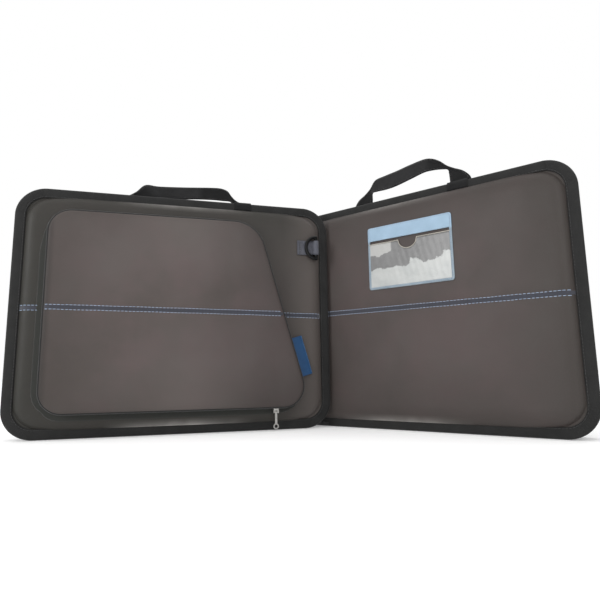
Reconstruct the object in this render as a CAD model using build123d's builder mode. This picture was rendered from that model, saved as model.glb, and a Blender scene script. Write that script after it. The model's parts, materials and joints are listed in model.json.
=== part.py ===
"""Folding solar suitcase: two moulded case leaves, each carrying a framed panel.

The leaves stand on their bottom edges, opened past flat, with their outer faces
in front.  Each leaf has its own plane, centred on the leaf: x runs along the leaf
to the right, y runs up and z points out of the case.  The front leaf faces -Y.
"""
import os
from math import atan2, cos, degrees, radians, sin, sqrt

from build123d import *

# Case leaf
leaf_width = 384.0
leaf_height = 290.0
leaf_corner = 34.0
flange = 2.5
tray_rise = 11.0
tray_wall = 2.5
bevel_angle = 45.0
tray_edge_radius = 4.0
band_width = 12.0
band_cloth = 1.5
band_edge_bevel = 0.9

# Cloth side walls and the zip that closes them
wall_inset = 8.0
wall_cloth = 1.5
chain_width = 4.0
chain_height = 2.4
zip_end = 40.0
closing_gap = 0.6

# Spine: one cloth gusset with a standing fold, hinged on both leaf edges
strip_width = 40.0
strip_cloth = 1.6
strip_end_front = 5.6
strip_end_rear = 7.0
strip_margin = 2.0
spine_bend = 47.5
spine_fold_radius = 4.0
fold_clearance = 3.5
leaf_turn = radians(56.2)

# Panel
panel_inset = 26.0
frame_depth = 22.0
frame_wall = 1.6
frame_lip = 7.0
frame_foot = 12.0
mitre_gap = 0.15
glass_thick = 3.2
cell_thick = 0.5
backsheet_thick = 0.5
cell_columns = 9
cell_rows = 4
cell_gap = 2.4
cell_margin = 5.0
cell_corner = 4.0
lining_thick = 1.0
pad_thick = 1.5
pad_size = (60.0, 10.0)
box_size = (84.0, 62.0)
box_depth = 12.0
gland_radius = 4.5
gland_sides = 6
gland_length = 14.0
gland_bore = 2.6
gland_neck = 0.78
gland_nut = 5.0
box_from_centre = 40.0
box_corner = 4.0
box_edge_bevel = 1.2

# Pocket on the front leaf
pocket_from_left = 38.0
pocket_from_right = 34.0
pocket_from_bottom = 27.0
pocket_from_top = 29.0
pocket_slant = 70.0
pocket_corner = 27.0
pocket_head_corner = 42.0
pocket_depth = 8.6
pocket_cloth = 2.0
pocket_setback = 1.2
pocket_zip_height = 4.0
cover_thick = 4.4
cover_edge_bevel = 2.4

# Zip sliders and pulls
case_slider_length = 11.0
pocket_slider_length = 7.6
slider_thick = 2.4
slider_corner = 2.0
pocket_slider_width = 6.4
case_slider_width = 10.0
bar_radius = 0.8
bar_fit = 0.05
knuckle_radius = 1.5
cheek_thick = 1.2
cheek_gap = 0.2
pull_length = 17.0
pull_width = 4.0
pull_stem = 2.8
pull_eye = 3.4
pull_eye_hole = 2.0
pull_thick = 1.2
slider_from_corner = 43.0

# Handles
handle_span = 152.0
handle_from_spine = 188.0
handle_web = 15.0
handle_thick = 2.4
handle_back = 7.0
handle_lean = 24.0
handle_corner = 16.0
handle_inner_corner = 5.0
front_handle_rise = 23.0
rear_handle_rise = 37.0
foot_depth = 22.0
foot_cloth = 1.2
foot_margin = 2.0
handle_foot_gap = 0.7

# D-ring and its tab
ring_from_spine = 20.0
ring_from_top = 57.5
ring_outer = 16.5
ring_wire = 4.0
ring_lean = 10.0
tab_width = 19.0
tab_length = 25.0
tab_cloth = 1.4
ring_bevel = 1.1

# Ribbon tag on the pocket's slanted side
tag_length = 50.0
tag_width = 15.5
tag_thick = 1.2
tag_from_corner = 39.0

# Card window on the rear leaf
card_from_spine = 136.5
card_from_top = 38.0
card_width = 113.5
card_height = 80.5
card_room = 0.8
card_film_thick = 0.5
card_edge = 3.0
header_height = 18.0
header_thick = 1.0
card_slot = 4.0
notch_radius = 12.5
notch_from_left = 56.0

soft_clearance = 0.3

# Worked out from the above
hinge_height = flange / 2
half_bend = radians(spine_bend / 2)
half_chord = strip_width * cos(half_bend)
half_gap = half_chord - hinge_height
chain_back = half_gap - closing_gap / 2
wall_depth = chain_back - chain_height - band_cloth
chain_inset = wall_inset - (chain_width - wall_cloth) / 2
spine_gap = tray_rise + fold_clearance
tray_floor = tray_rise - tray_wall
bevel_run = tray_rise - flange
floor_inset = band_width + bevel_run + tray_wall / 2
panel_foot = tray_floor - lining_thick - pad_thick
panel_face = panel_foot - frame_depth
glass_level = panel_face + frame_wall
cell_level = glass_level + glass_thick
box_level = cell_level + cell_thick + backsheet_thick
panel_size = (leaf_width - 2 * panel_inset, leaf_height - 2 * panel_inset)
handle_foot = leaf_height / 2 - wall_inset + foot_cloth + handle_foot_gap
strip_bottom = leaf_corner + strip_margin
bar_height = knuckle_radius + soft_clearance
cover_back = tray_rise + pocket_depth + soft_clearance
pocket_wall_top = tray_rise + pocket_depth
pocket_left = pocket_from_left - leaf_width / 2
pocket_right = leaf_width / 2 - pocket_from_right
pocket_foot = pocket_from_bottom - leaf_height / 2
pocket_head = leaf_height / 2 - pocket_from_top

# Where the leaves stand: the whole case is centred on the origin
along_rear = Vector(cos(leaf_turn), -sin(leaf_turn), 0)
behind_rear = Vector(sin(leaf_turn), cos(leaf_turn), 0)
fold_depth = strip_width * sin(half_bend)
spine_overlap = sqrt((2 * half_chord) ** 2 - (spine_gap - hinge_height) ** 2)
rear_edge_shift = behind_rear * spine_gap - along_rear * spine_overlap
span_x = (
    leaf_width
    + rear_edge_shift.X
    + (leaf_width - chain_inset) * cos(leaf_turn)
    + chain_back * sin(leaf_turn)
)
band_face = flange + band_cloth
lost_to_bevel = band_edge_bevel * min(sin(leaf_turn), cos(leaf_turn))
span_front = leaf_width * sin(leaf_turn) + band_face * cos(leaf_turn) - lost_to_bevel - rear_edge_shift.Y
span_back = rear_edge_shift.Y + band_cloth * cos(leaf_turn)
front_edge = Vector(leaf_width - span_x / 2, (span_front - span_back) / 2, 0)
rear_edge = front_edge + rear_edge_shift

front_leaf = Plane(
    origin=front_edge + Vector(-leaf_width / 2, hinge_height, leaf_height / 2),
    x_dir=(1, 0, 0),
    z_dir=(0, -1, 0),
)
rear_leaf = Plane(
    origin=rear_edge + along_rear * (leaf_width / 2) + Vector(0, 0, leaf_height / 2),
    x_dir=along_rear,
    z_dir=behind_rear * -1,
)
rear_hinge = rear_edge - behind_rear * hinge_height
middle_of_spine = (front_edge + rear_hinge) * 0.5
chord = (rear_hinge - front_edge).normalized()
fold_line = middle_of_spine + Vector(-chord.Y, chord.X, 0) * fold_depth


def leaf_outline(inset):
    """The rounded leaf outline, drawn in by an inset."""
    return RectangleRounded(leaf_width - 2 * inset, leaf_height - 2 * inset, leaf_corner - inset)


def make_shell(leaf):
    """Moulded tray: a flange all round, a sloped rise and a flat raised face."""
    with BuildPart() as shell:
        with BuildSketch(leaf):
            leaf_outline(band_cloth)
        extrude(amount=flange)
        with BuildSketch(leaf.offset(flange)):
            leaf_outline(band_width)
        extrude(amount=bevel_run, taper=bevel_angle)
        raised_face = shell.faces().sort_by(Axis(leaf.origin, leaf.z_dir))[-1]
        fillet(raised_face.edges(), radius=tray_edge_radius)
        with BuildSketch(leaf):
            leaf_outline(floor_inset - tray_floor)
        extrude(amount=tray_floor, taper=bevel_angle, mode=Mode.SUBTRACT)
    return shell


def make_binding(leaf):
    """Cloth band folded round the flange, a U in section."""
    with BuildPart() as binding:
        with BuildSketch(leaf.offset(-band_cloth)):
            leaf_outline(0)
        extrude(amount=flange + 2 * band_cloth)
        front = binding.faces().sort_by(Axis(leaf.origin, leaf.z_dir))[-1]
        chamfer(front.edges(), length=band_edge_bevel)
        with BuildSketch(leaf.offset(-band_cloth)):
            leaf_outline(band_width)
        extrude(amount=flange + 2 * band_cloth, mode=Mode.SUBTRACT)
        with BuildSketch(leaf):
            leaf_outline(band_cloth)
        extrude(amount=flange, mode=Mode.SUBTRACT)
    return binding


def make_lining(leaf):
    """Cloth lining on the tray's inner floor."""
    with BuildPart() as lining:
        with BuildSketch(leaf.offset(tray_floor - lining_thick)):
            leaf_outline(floor_inset + soft_clearance)
        extrude(amount=lining_thick)
    return lining


def open_ring(outer_inset, inner_inset, spine_side):
    """A rim round three sides of the leaf, left open at the spine."""
    with BuildSketch() as ring:
        leaf_outline(outer_inset)
        with BuildSketch(mode=Mode.SUBTRACT):
            leaf_outline(inner_inset)
        with Locations((spine_side * (leaf_width - zip_end) / 2, 0)):
            Rectangle(zip_end, leaf_height, mode=Mode.SUBTRACT)
    return ring.sketch


def make_side_wall(leaf, spine_side):
    """Cloth side wall behind the flange."""
    with BuildPart() as wall:
        with BuildSketch(leaf.offset(-band_cloth)):
            add(open_ring(wall_inset, wall_inset + wall_cloth, spine_side))
        extrude(amount=-wall_depth)
    return wall


def make_chain(leaf, spine_side):
    """Half of the case's zip, sewn along the side wall's edge."""
    with BuildPart() as chain:
        with BuildSketch(leaf.offset(chain_height - chain_back)):
            add(open_ring(chain_inset, chain_inset + chain_width, spine_side))
        extrude(amount=-chain_height)
    return chain


def make_panel_frame(leaf):
    """Four frame bars of C section, mitred at the corners."""
    width, height = panel_size
    with BuildPart() as frame:
        with BuildSketch(leaf.offset(panel_face)):
            Rectangle(width, height)
        extrude(amount=frame_depth)
        with BuildSketch(leaf.offset(panel_face)):
            Rectangle(width - 2 * frame_lip, height - 2 * frame_lip)
        extrude(amount=frame_wall, mode=Mode.SUBTRACT)
        with BuildSketch(leaf.offset(panel_face + frame_wall)):
            Rectangle(width - 2 * frame_wall, height - 2 * frame_wall)
        extrude(amount=frame_depth - 2 * frame_wall, mode=Mode.SUBTRACT)
        with BuildSketch(leaf.offset(panel_foot - frame_wall)):
            Rectangle(width - 2 * frame_foot, height - 2 * frame_foot)
        extrude(amount=frame_wall, mode=Mode.SUBTRACT)
        with BuildSketch(leaf.offset(panel_face)):
            for side_x, side_y in ((1, 1), (1, -1), (-1, 1), (-1, -1)):
                with Locations((side_x * (width - frame_foot) / 2, side_y * (height - frame_foot) / 2)):
                    Rectangle(2 * frame_foot, mitre_gap, rotation=45 * side_x * side_y)
        extrude(amount=frame_depth, mode=Mode.SUBTRACT)
    return frame


def make_sheet(leaf, height, thickness):
    """A rectangular layer of the panel, inside the frame."""
    with BuildPart() as sheet:
        with BuildSketch(leaf.offset(height)):
            Rectangle(panel_size[0] - 2 * frame_wall, panel_size[1] - 2 * frame_wall)
        extrude(amount=thickness)
    return sheet


def make_cells(leaf):
    """The grid of cells behind the glass, each with its corners cut."""
    pitch_x = (panel_size[0] - 2 * (frame_lip + cell_margin) + cell_gap) / cell_columns
    pitch_y = (panel_size[1] - 2 * (frame_lip + cell_margin) + cell_gap) / cell_rows
    with BuildSketch() as one_cell:
        Rectangle(pitch_x - cell_gap, pitch_y - cell_gap)
        chamfer(one_cell.vertices(), length=cell_corner)
    with BuildPart() as cells:
        with BuildSketch(leaf.offset(cell_level)):
            with GridLocations(pitch_x, pitch_y, cell_columns, cell_rows):
                add(one_cell.sketch)
        extrude(amount=cell_thick)
    return cells


def make_pads(leaf):
    """Hook-and-loop pads that hold the panel's feet to the lining."""
    with BuildPart() as pads:
        with BuildSketch(leaf.offset(panel_foot)):
            with GridLocations(panel_size[0] / 2, panel_size[1] - frame_foot, 2, 2):
                Rectangle(*pad_size)
        extrude(amount=pad_thick)
    return pads


def make_junction_box(leaf):
    """Box on the panel's back, where the leads would leave."""
    with BuildPart() as box:
        with BuildSketch(leaf.offset(box_level)):
            with Locations((0, box_from_centre)):
                RectangleRounded(*box_size, box_corner)
        extrude(amount=box_depth)
        lid = box.faces().sort_by(Axis(leaf.origin, leaf.z_dir))[-1]
        chamfer(lid.edges(), length=box_edge_bevel)
    return box


def make_gland(leaf):
    """Cable gland in the junction box's lower wall, with nothing through it."""
    mouth = Plane(
        origin=leaf.from_local_coords((0, box_from_centre - box_size[1] / 2, box_level + box_depth / 2)),
        x_dir=leaf.x_dir,
        z_dir=(0, 0, -1),
    )
    with BuildPart() as gland:
        with BuildSketch(mouth):
            RegularPolygon(gland_radius, gland_sides)
        extrude(amount=gland_nut)
        with BuildSketch(mouth.offset(gland_nut)):
            Circle(gland_radius * gland_neck)
        extrude(amount=gland_length - gland_nut)
        with BuildSketch(mouth):
            Circle(gland_bore)
        extrude(amount=gland_length, mode=Mode.SUBTRACT)
    return gland


def handle_outline(span, height, lean, corner):
    """A trapezium with rounded shoulders, standing on its foot line."""
    with BuildSketch() as outline:
        Polygon(
            (-span / 2, 0),
            (span / 2, 0),
            (span / 2 - lean, height),
            (-span / 2 + lean, height),
            align=None,
        )
        fillet(outline.vertices().group_by(Axis.Y)[-1], radius=corner)
    return outline.sketch


def make_handle(leaf, handle_x, rise):
    """Webbing handle: an arch that stands on the case's top wall."""
    height = rise + leaf_height / 2 - handle_foot
    inner_span = handle_span - 2 * handle_web
    inner_lean = handle_lean * (height - handle_web) / height
    with BuildPart() as handle:
        with BuildSketch(leaf.offset(-handle_back - handle_thick / 2)):
            with Locations((handle_x, handle_foot)):
                add(handle_outline(handle_span, height, handle_lean, handle_corner))
                add(
                    handle_outline(inner_span, height - handle_web, inner_lean, handle_inner_corner),
                    mode=Mode.SUBTRACT,
                )
        extrude(amount=handle_thick)
    return handle


def make_handle_feet(leaf, handle_x):
    """Two cloth patches on the top wall, under the handle's ends."""
    top = Plane(
        origin=leaf.from_local_coords(
            (handle_x, leaf_height / 2 - wall_inset, -band_cloth - foot_depth / 2)
        ),
        x_dir=leaf.x_dir,
        z_dir=(0, 0, 1),
    )
    with BuildPart() as feet:
        with BuildSketch(top):
            with GridLocations(handle_span - handle_web, 0, 2, 1):
                Rectangle(handle_web + 2 * foot_margin, foot_depth)
        extrude(amount=foot_cloth)
    return feet


def make_slider(seat, length, width, bar):
    """Zip slider: a block on its seat, with two cheeks and a bar for its pull."""
    across = pull_width + 2 * cheek_gap + cheek_thick
    with BuildPart() as slider:
        with BuildSketch(seat):
            RectangleRounded(length, width, slider_corner)
        extrude(amount=slider_thick)
        for end in (-1, 1):
            cheek = Plane(
                origin=bar.from_local_coords((end * across / 2 - cheek_thick / 2, 0, 0)),
                x_dir=seat.z_dir,
                z_dir=bar.x_dir,
            )
            with BuildSketch(cheek):
                Circle(knuckle_radius)
                with Locations((-bar_height / 2, 0)):
                    Rectangle(bar_height, 2 * knuckle_radius)
            extrude(amount=cheek_thick)
        bar_start = Plane(
            origin=bar.from_local_coords((-across / 2, 0, 0)), x_dir=seat.z_dir, z_dir=bar.x_dir
        )
        with BuildSketch(bar_start):
            Circle(bar_radius)
        extrude(amount=across)
    return slider


def make_pull(bar):
    """Zip pull: a slim stem hanging down its plane from a knuckle on the bar, with an eye at its end."""
    knuckle = Plane(
        origin=bar.from_local_coords((-pull_width / 2, 0, 0)), x_dir=bar.y_dir, z_dir=bar.x_dir
    )
    with BuildPart() as pull:
        with BuildSketch(bar.offset(-pull_thick / 2)):
            with Locations((0, -pull_length / 2)):
                Rectangle(pull_stem, pull_length)
            with Locations((0, -pull_length)):
                Circle(pull_eye)
                Circle(pull_eye_hole, mode=Mode.SUBTRACT)
        extrude(amount=pull_thick)
        with BuildSketch(knuckle):
            Circle(knuckle_radius)
        extrude(amount=pull_width)
        with BuildSketch(knuckle):
            Circle(bar_radius + bar_fit)
        extrude(amount=pull_width, mode=Mode.SUBTRACT)
    return pull


def pocket_outline(inset):
    """The pocket's outline, drawn in by an inset, in the front leaf's plane."""
    with BuildSketch() as outline:
        Polygon(
            (pocket_left, pocket_foot),
            (pocket_right, pocket_foot),
            (pocket_right - pocket_slant, pocket_head),
            (pocket_left, pocket_head),
            align=None,
        )
        head = outline.vertices().group_by(Axis.Y)[-1].sort_by(Axis.X)[-1]
        fillet(outline.vertices() - ShapeList([head]), radius=pocket_corner)
        blunt = outline.vertices().sort_by_distance((head.X, head.Y, 0))[0]
        fillet(blunt, radius=pocket_head_corner)
        if inset:
            offset(amount=-inset, mode=Mode.REPLACE)
    return outline.sketch


# Both leaves
pieces = {}
for side, leaf, spine_side in (("front", front_leaf, 1), ("rear", rear_leaf, -1)):
    handle_x = spine_side * (leaf_width / 2 - handle_from_spine)
    rise = front_handle_rise if side == "front" else rear_handle_rise
    pieces[f"{side}_shell"] = make_shell(leaf)
    pieces[f"{side}_binding"] = make_binding(leaf)
    pieces[f"{side}_lining"] = make_lining(leaf)
    pieces[f"{side}_side_wall"] = make_side_wall(leaf, spine_side)
    pieces[f"{side}_zip_chain"] = make_chain(leaf, spine_side)
    pieces[f"{side}_panel_frame"] = make_panel_frame(leaf)
    pieces[f"{side}_panel_glass"] = make_sheet(leaf, glass_level, glass_thick)
    pieces[f"{side}_panel_cells"] = make_cells(leaf)
    pieces[f"{side}_panel_backsheet"] = make_sheet(leaf, cell_level + cell_thick, backsheet_thick)
    pieces[f"{side}_panel_pads"] = make_pads(leaf)
    pieces[f"{side}_junction_box"] = make_junction_box(leaf)
    pieces[f"{side}_cable_gland"] = make_gland(leaf)
    pieces[f"{side}_handle"] = make_handle(leaf, handle_x, rise)
    pieces[f"{side}_handle_feet"] = make_handle_feet(leaf, handle_x)

# Spine gusset, folded inwards between the two edges
front_end = front_edge + (fold_line - front_edge).normalized() * strip_end_front
rear_end = rear_hinge + (fold_line - rear_hinge).normalized() * strip_end_rear
with BuildPart() as spine_cloth:
    with BuildSketch(Plane.XY.offset(strip_bottom)):
        with BuildLine():
            FilletPolyline(front_end, fold_line, rear_end, radius=spine_fold_radius)
        trace(line_width=strip_cloth)
    extrude(amount=leaf_height - 2 * strip_bottom)
pieces["spine_cloth"] = spine_cloth

# Pocket: a cloth wall on the tray, a zip along three sides and a moulded cover
with BuildPart() as pocket_wall:
    with BuildSketch(front_leaf.offset(tray_rise)):
        add(pocket_outline(pocket_setback))
        add(pocket_outline(pocket_setback + pocket_cloth), mode=Mode.SUBTRACT)
    extrude(amount=pocket_depth)
pieces["pocket_wall"] = pocket_wall

with BuildPart() as pocket_zip:
    with BuildSketch(front_leaf.offset(pocket_wall_top - pocket_zip_height)):
        add(pocket_outline(0))
        add(pocket_outline(pocket_setback), mode=Mode.SUBTRACT)
        with Locations((pocket_left, 0)):
            Rectangle(
                pocket_corner, leaf_height, align=(Align.MIN, Align.CENTER), mode=Mode.SUBTRACT
            )
    extrude(amount=pocket_zip_height)
pieces["pocket_zip"] = pocket_zip

with BuildPart() as pocket_cover:
    with BuildSketch(front_leaf.offset(cover_back)):
        add(pocket_outline(0))
    extrude(amount=cover_thick)
    cover_face = pocket_cover.faces().sort_by(Axis.Y)[0]
    chamfer(cover_face.edges(), length=cover_edge_bevel)
pieces["pocket_cover"] = pocket_cover

pocket_seat = Plane(
    origin=front_leaf.from_local_coords(
        (
            pocket_right - slider_from_corner,
            pocket_foot - soft_clearance,
            pocket_wall_top - pocket_zip_height / 2,
        )
    ),
    x_dir=(1, 0, 0),
    z_dir=(0, 0, -1),
)
pocket_bar = Plane(
    origin=pocket_seat.offset(slider_thick + bar_height).origin, x_dir=(1, 0, 0), z_dir=(0, -1, 0)
)
pieces["pocket_slider"] = make_slider(
    pocket_seat, pocket_slider_length, pocket_slider_width, pocket_bar
)
pieces["pocket_pull"] = make_pull(pocket_bar)

# Case zip sliders, parked at the spine end of the front leaf's lower and upper runs
slider_x = leaf_width / 2 - zip_end - case_slider_length / 2
for name, up in (("lower", -1), ("upper", 1)):
    seat = Plane(
        origin=front_leaf.from_local_coords(
            (
                slider_x,
                up * (leaf_height / 2 - chain_inset + soft_clearance),
                chain_height / 2 - chain_back,
            )
        ),
        x_dir=(1, 0, 0),
        z_dir=(0, 0, up),
    )
    bar = Plane(origin=seat.offset(slider_thick + bar_height).origin, x_dir=(0, -1, 0), z_dir=(0, 0, 1))
    pieces[f"{name}_zip_slider"] = make_slider(seat, case_slider_length, case_slider_width, bar)
    pieces[f"{name}_zip_pull"] = make_pull(bar)

# D-ring in a webbing tab near the spine
ring_x = leaf_width / 2 - ring_from_spine
ring_y = leaf_height / 2 - ring_from_top
loop_bore = sqrt((ring_wire / 2) ** 2 + (ring_wire / 2 - ring_bevel) ** 2) + soft_clearance
loop_radius = loop_bore + tab_cloth
tab_top = Plane(
    origin=front_leaf.from_local_coords((ring_x, ring_y + tab_width / 2, tray_rise)),
    x_dir=(1, 0, 0),
    z_dir=(0, 0, -1),
)
with BuildPart() as d_ring_tab:
    with BuildSketch(tab_top):
        with Locations((-tab_length / 2, tab_cloth)):
            Rectangle(tab_length, 2 * tab_cloth)
        with Locations((0, loop_radius)):
            Circle(loop_radius)
            Circle(loop_bore, mode=Mode.SUBTRACT)
    extrude(amount=tab_width)
pieces["d_ring_tab"] = d_ring_tab

# The ring lies back over its tab, leaning a little off it
ring_rise = radians(ring_lean)
bar_middle = front_leaf.from_local_coords((ring_x, ring_y, tray_rise + loop_radius))
ring_plane = Plane(
    origin=bar_middle,
    x_dir=front_leaf.x_dir * -cos(ring_rise) + front_leaf.z_dir * sin(ring_rise),
    z_dir=front_leaf.z_dir * cos(ring_rise) + front_leaf.x_dir * sin(ring_rise),
)
with BuildPart() as d_ring:
    with BuildSketch(ring_plane.offset(-ring_wire / 2)):
        Circle(ring_outer)
        with Locations((-ring_wire / 2 - ring_outer, 0)):
            Rectangle(2 * ring_outer, 2 * ring_outer, mode=Mode.SUBTRACT)
        with BuildSketch(mode=Mode.SUBTRACT):
            Circle(ring_outer - ring_wire)
            with Locations((ring_wire / 2 - ring_outer, 0)):
                Rectangle(2 * ring_outer, 2 * ring_outer, mode=Mode.SUBTRACT)
    extrude(amount=ring_wire)
    chamfer(d_ring.edges(), length=ring_bevel)
pieces["d_ring"] = d_ring

# Ribbon tag sewn under the pocket's slanted zip
slant_angle = atan2(pocket_head - pocket_foot, -pocket_slant)
slant = Vector(cos(slant_angle), sin(slant_angle), 0)
slant_out = Vector(sin(slant_angle), -cos(slant_angle), 0)
tag_foot = Vector(pocket_right, pocket_foot, 0) + slant * tag_from_corner - slant_out * pocket_setback
tag_middle = tag_foot + slant * (tag_length / 2) + slant_out * (tag_width + pocket_setback) / 2
with BuildPart() as ribbon_tag:
    with BuildSketch(front_leaf.offset(pocket_wall_top - pocket_zip_height - tag_thick)):
        with Locations(Location(tag_middle, (0, 0, degrees(slant_angle)))):
            Rectangle(tag_length, tag_width + pocket_setback)
    extrude(amount=tag_thick)
pieces["ribbon_tag"] = ribbon_tag

# Card window on the rear leaf: a header over a clear pocket with a thumb notch
card_middle_x = card_from_spine + card_width / 2 - leaf_width / 2
card_top_y = leaf_height / 2 - card_from_top
card_middle_y = card_top_y - card_height / 2
film_level = tray_rise + card_room
film_top_y = card_top_y - header_height - card_slot
with BuildPart() as card_frame:
    with BuildSketch(rear_leaf.offset(tray_rise)):
        with Locations((card_middle_x, card_middle_y)):
            Rectangle(card_width, card_height)
            Rectangle(card_width - 2 * card_edge, card_height - 2 * card_edge, mode=Mode.SUBTRACT)
    extrude(amount=card_room)
pieces["card_frame"] = card_frame

with BuildPart() as card_film:
    with BuildSketch(rear_leaf.offset(film_level)):
        with Locations((card_middle_x, (card_middle_y - card_height / 2 + film_top_y) / 2)):
            Rectangle(card_width, film_top_y - card_middle_y + card_height / 2)
        with Locations((card_middle_x - card_width / 2 + notch_from_left, film_top_y)):
            Circle(notch_radius, mode=Mode.SUBTRACT)
    extrude(amount=card_film_thick)
pieces["card_film"] = card_film

with BuildPart() as card_header:
    with BuildSketch(rear_leaf.offset(film_level)):
        with Locations((card_middle_x, card_top_y - header_height / 2)):
            Rectangle(card_width, header_height)
    extrude(amount=header_thick)
pieces["card_header"] = card_header

os.makedirs("parts", exist_ok=True)
for name, piece in pieces.items():
    piece.part.label = name
    export_step(piece.part, f"parts/{name}.step")
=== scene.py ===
"""Looks of the folding solar suitcase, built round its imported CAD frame.

Each piece that is modelled for a leaf is made in the leaf's own millimetres: x along the
leaf, y up from its middle and w out of the case. It is then placed by the leaf's axes.
The spine's gusset is made in metres, where it stands.
"""
import json
import math
import random

import bpy
import numpy as np
from mathutils import Matrix, Vector


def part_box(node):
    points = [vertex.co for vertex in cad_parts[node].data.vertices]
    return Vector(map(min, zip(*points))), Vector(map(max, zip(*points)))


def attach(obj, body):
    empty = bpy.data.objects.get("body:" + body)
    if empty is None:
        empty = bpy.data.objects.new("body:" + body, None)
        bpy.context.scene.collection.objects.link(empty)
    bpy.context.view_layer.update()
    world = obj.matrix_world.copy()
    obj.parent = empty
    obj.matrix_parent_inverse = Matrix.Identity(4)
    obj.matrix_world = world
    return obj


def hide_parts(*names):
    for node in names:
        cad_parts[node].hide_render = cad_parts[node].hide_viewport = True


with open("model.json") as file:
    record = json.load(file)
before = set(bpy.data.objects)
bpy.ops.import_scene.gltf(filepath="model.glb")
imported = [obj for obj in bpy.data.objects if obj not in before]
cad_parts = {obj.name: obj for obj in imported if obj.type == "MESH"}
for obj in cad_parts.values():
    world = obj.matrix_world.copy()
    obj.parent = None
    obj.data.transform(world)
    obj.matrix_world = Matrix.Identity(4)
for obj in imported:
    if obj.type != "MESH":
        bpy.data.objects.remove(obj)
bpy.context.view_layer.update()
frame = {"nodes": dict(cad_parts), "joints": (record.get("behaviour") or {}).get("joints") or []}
random.seed(7)
MM = 0.001
BAND_CLOTH = 1.5
BAND_WIDTH = 12.0
CORNER = 34.0
joints = {j["name"]: j for j in frame["joints"]}


# ---- lines and outlines
def unit(vectors):
    """Vectors brought to length one."""
    return vectors / np.linalg.norm(vectors, axis=-1, keepdims=True)


def run_length(line):
    """Length along a line, from its start to each point."""
    return np.concatenate([[0], np.cumsum(np.linalg.norm(np.diff(line, axis=0), axis=1))])


def resample(loop, step, closed=True):
    """Points at even steps along a line."""
    pts = np.concatenate([loop, loop[:1]]) if closed else np.asarray(loop, float)
    length = run_length(pts)
    count = max(2, int(round(length[-1] / step)))
    t = np.linspace(0, length[-1], count + 1)
    if closed:
        t = t[:-1]
    return along_run(t, length, pts).T


def polygon_loop(corners, radii, inset=0.0, per_side=24, per_corner=14):
    """A closed loop along a convex polygon with rounded corners, drawn in by an inset."""
    corners = np.array(corners, float)
    count = len(corners)
    arcs = []
    for i in range(count):
        before, here, after = corners[i - 1], corners[i], corners[(i + 1) % count]
        into, away = unit(here - before), unit(after - here)
        n1, n2 = np.array((-into[1], into[0])), np.array((-away[1], away[0]))
        reach = (n1 + n2) / (1 + n1 @ n2)
        radius = max(radii[i] - inset, 0.4)
        centre = here + reach * (inset + radius)
        start = math.atan2(-n1[1], -n1[0])
        turn = math.atan2(into[0] * away[1] - into[1] * away[0], into @ away)
        angles = start + turn * np.linspace(0, 1, per_corner + 1)
        arcs.append(centre + radius * np.stack([np.cos(angles), np.sin(angles)], 1))
    loop = []
    for i in range(count):
        loop.append(arcs[i])
        start, end = arcs[i][-1], arcs[(i + 1) % count][0]
        t = np.linspace(0, 1, per_side + 1)[1:-1, None]
        loop.append(start + (end - start) * t)
    return np.concatenate(loop)


def edge_distance(corners, xy):
    """Distance of points inside a convex polygon from its nearest side."""
    corners = np.array(corners, float)
    best = np.full(xy.shape[:-1], 1e9)
    for a, b in zip(corners, np.roll(corners, -1, 0)):
        d = unit(b - a)
        best = np.minimum(best, (xy[..., 1] - a[1]) * d[0] - (xy[..., 0] - a[0]) * d[1])
    return best


def along_run(t, length, values):
    """Values given at the points of a line, read at a length along it."""
    return np.array([np.interp(t, length, values[:, k]) for k in range(values.shape[1])])


def smooth_path(keys, count):
    """Catmull-Rom through the keys."""
    keys = np.array(keys, float)
    padded = np.vstack([2 * keys[0] - keys[1], keys, 2 * keys[-1] - keys[-2]])
    out = []
    for t in np.linspace(0, len(keys) - 1 - 1e-6, count):
        i = int(t)
        f = t - i
        p0, p1, p2, p3 = padded[i : i + 4]
        bend = (2 * p0 - 5 * p1 + 4 * p2 - p3) * f * f + (3 * p1 - p0 - 3 * p2 + p3) * f**3
        out.append(0.5 * (2 * p1 + (p2 - p0) * f + bend))
    return np.array(out)


def ripple(x, y, seed, reach=1.0):
    """Smooth unevenness of hand-made foam and cloth, about one unit high."""
    rng = random.Random(seed)
    total = 0
    for k in range(6):
        angle = rng.uniform(0, math.pi)
        wave = rng.uniform(38, 120) * reach / (1 + 0.3 * k)
        phase = rng.uniform(0, 2 * math.pi)
        across = (x * math.cos(angle) + y * math.sin(angle)) / wave
        total = total + np.sin(across * 2 * math.pi + phase) / (1.5 + k)
    return total / 1.6


def lifted(loop, w):
    """A flat line brought to a height, or to a height for each of its points."""
    return np.column_stack([loop, np.broadcast_to(w, len(loop))])


def stack(outline, section):
    """The loops of a section, which is pairs of an inset and a height."""
    return [lifted(outline(inset), w) for inset, w in section]


def drawn_in(loop, shares, height, centre=(0.0, 0.0)):
    """Copies of a loop, drawn in toward a middle, at one height or at the height found there."""
    rows = []
    for share in shares:
        inner = centre + (loop - centre) * share
        rows.append(lifted(inner, height(inner[:, 0], inner[:, 1]) if callable(height) else height))
    return rows


# ---- leaf frames
def node_points(node):
    """The vertices of a CAD node."""
    return np.array([v.co for v in frame["nodes"][node].data.vertices], float)


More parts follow.
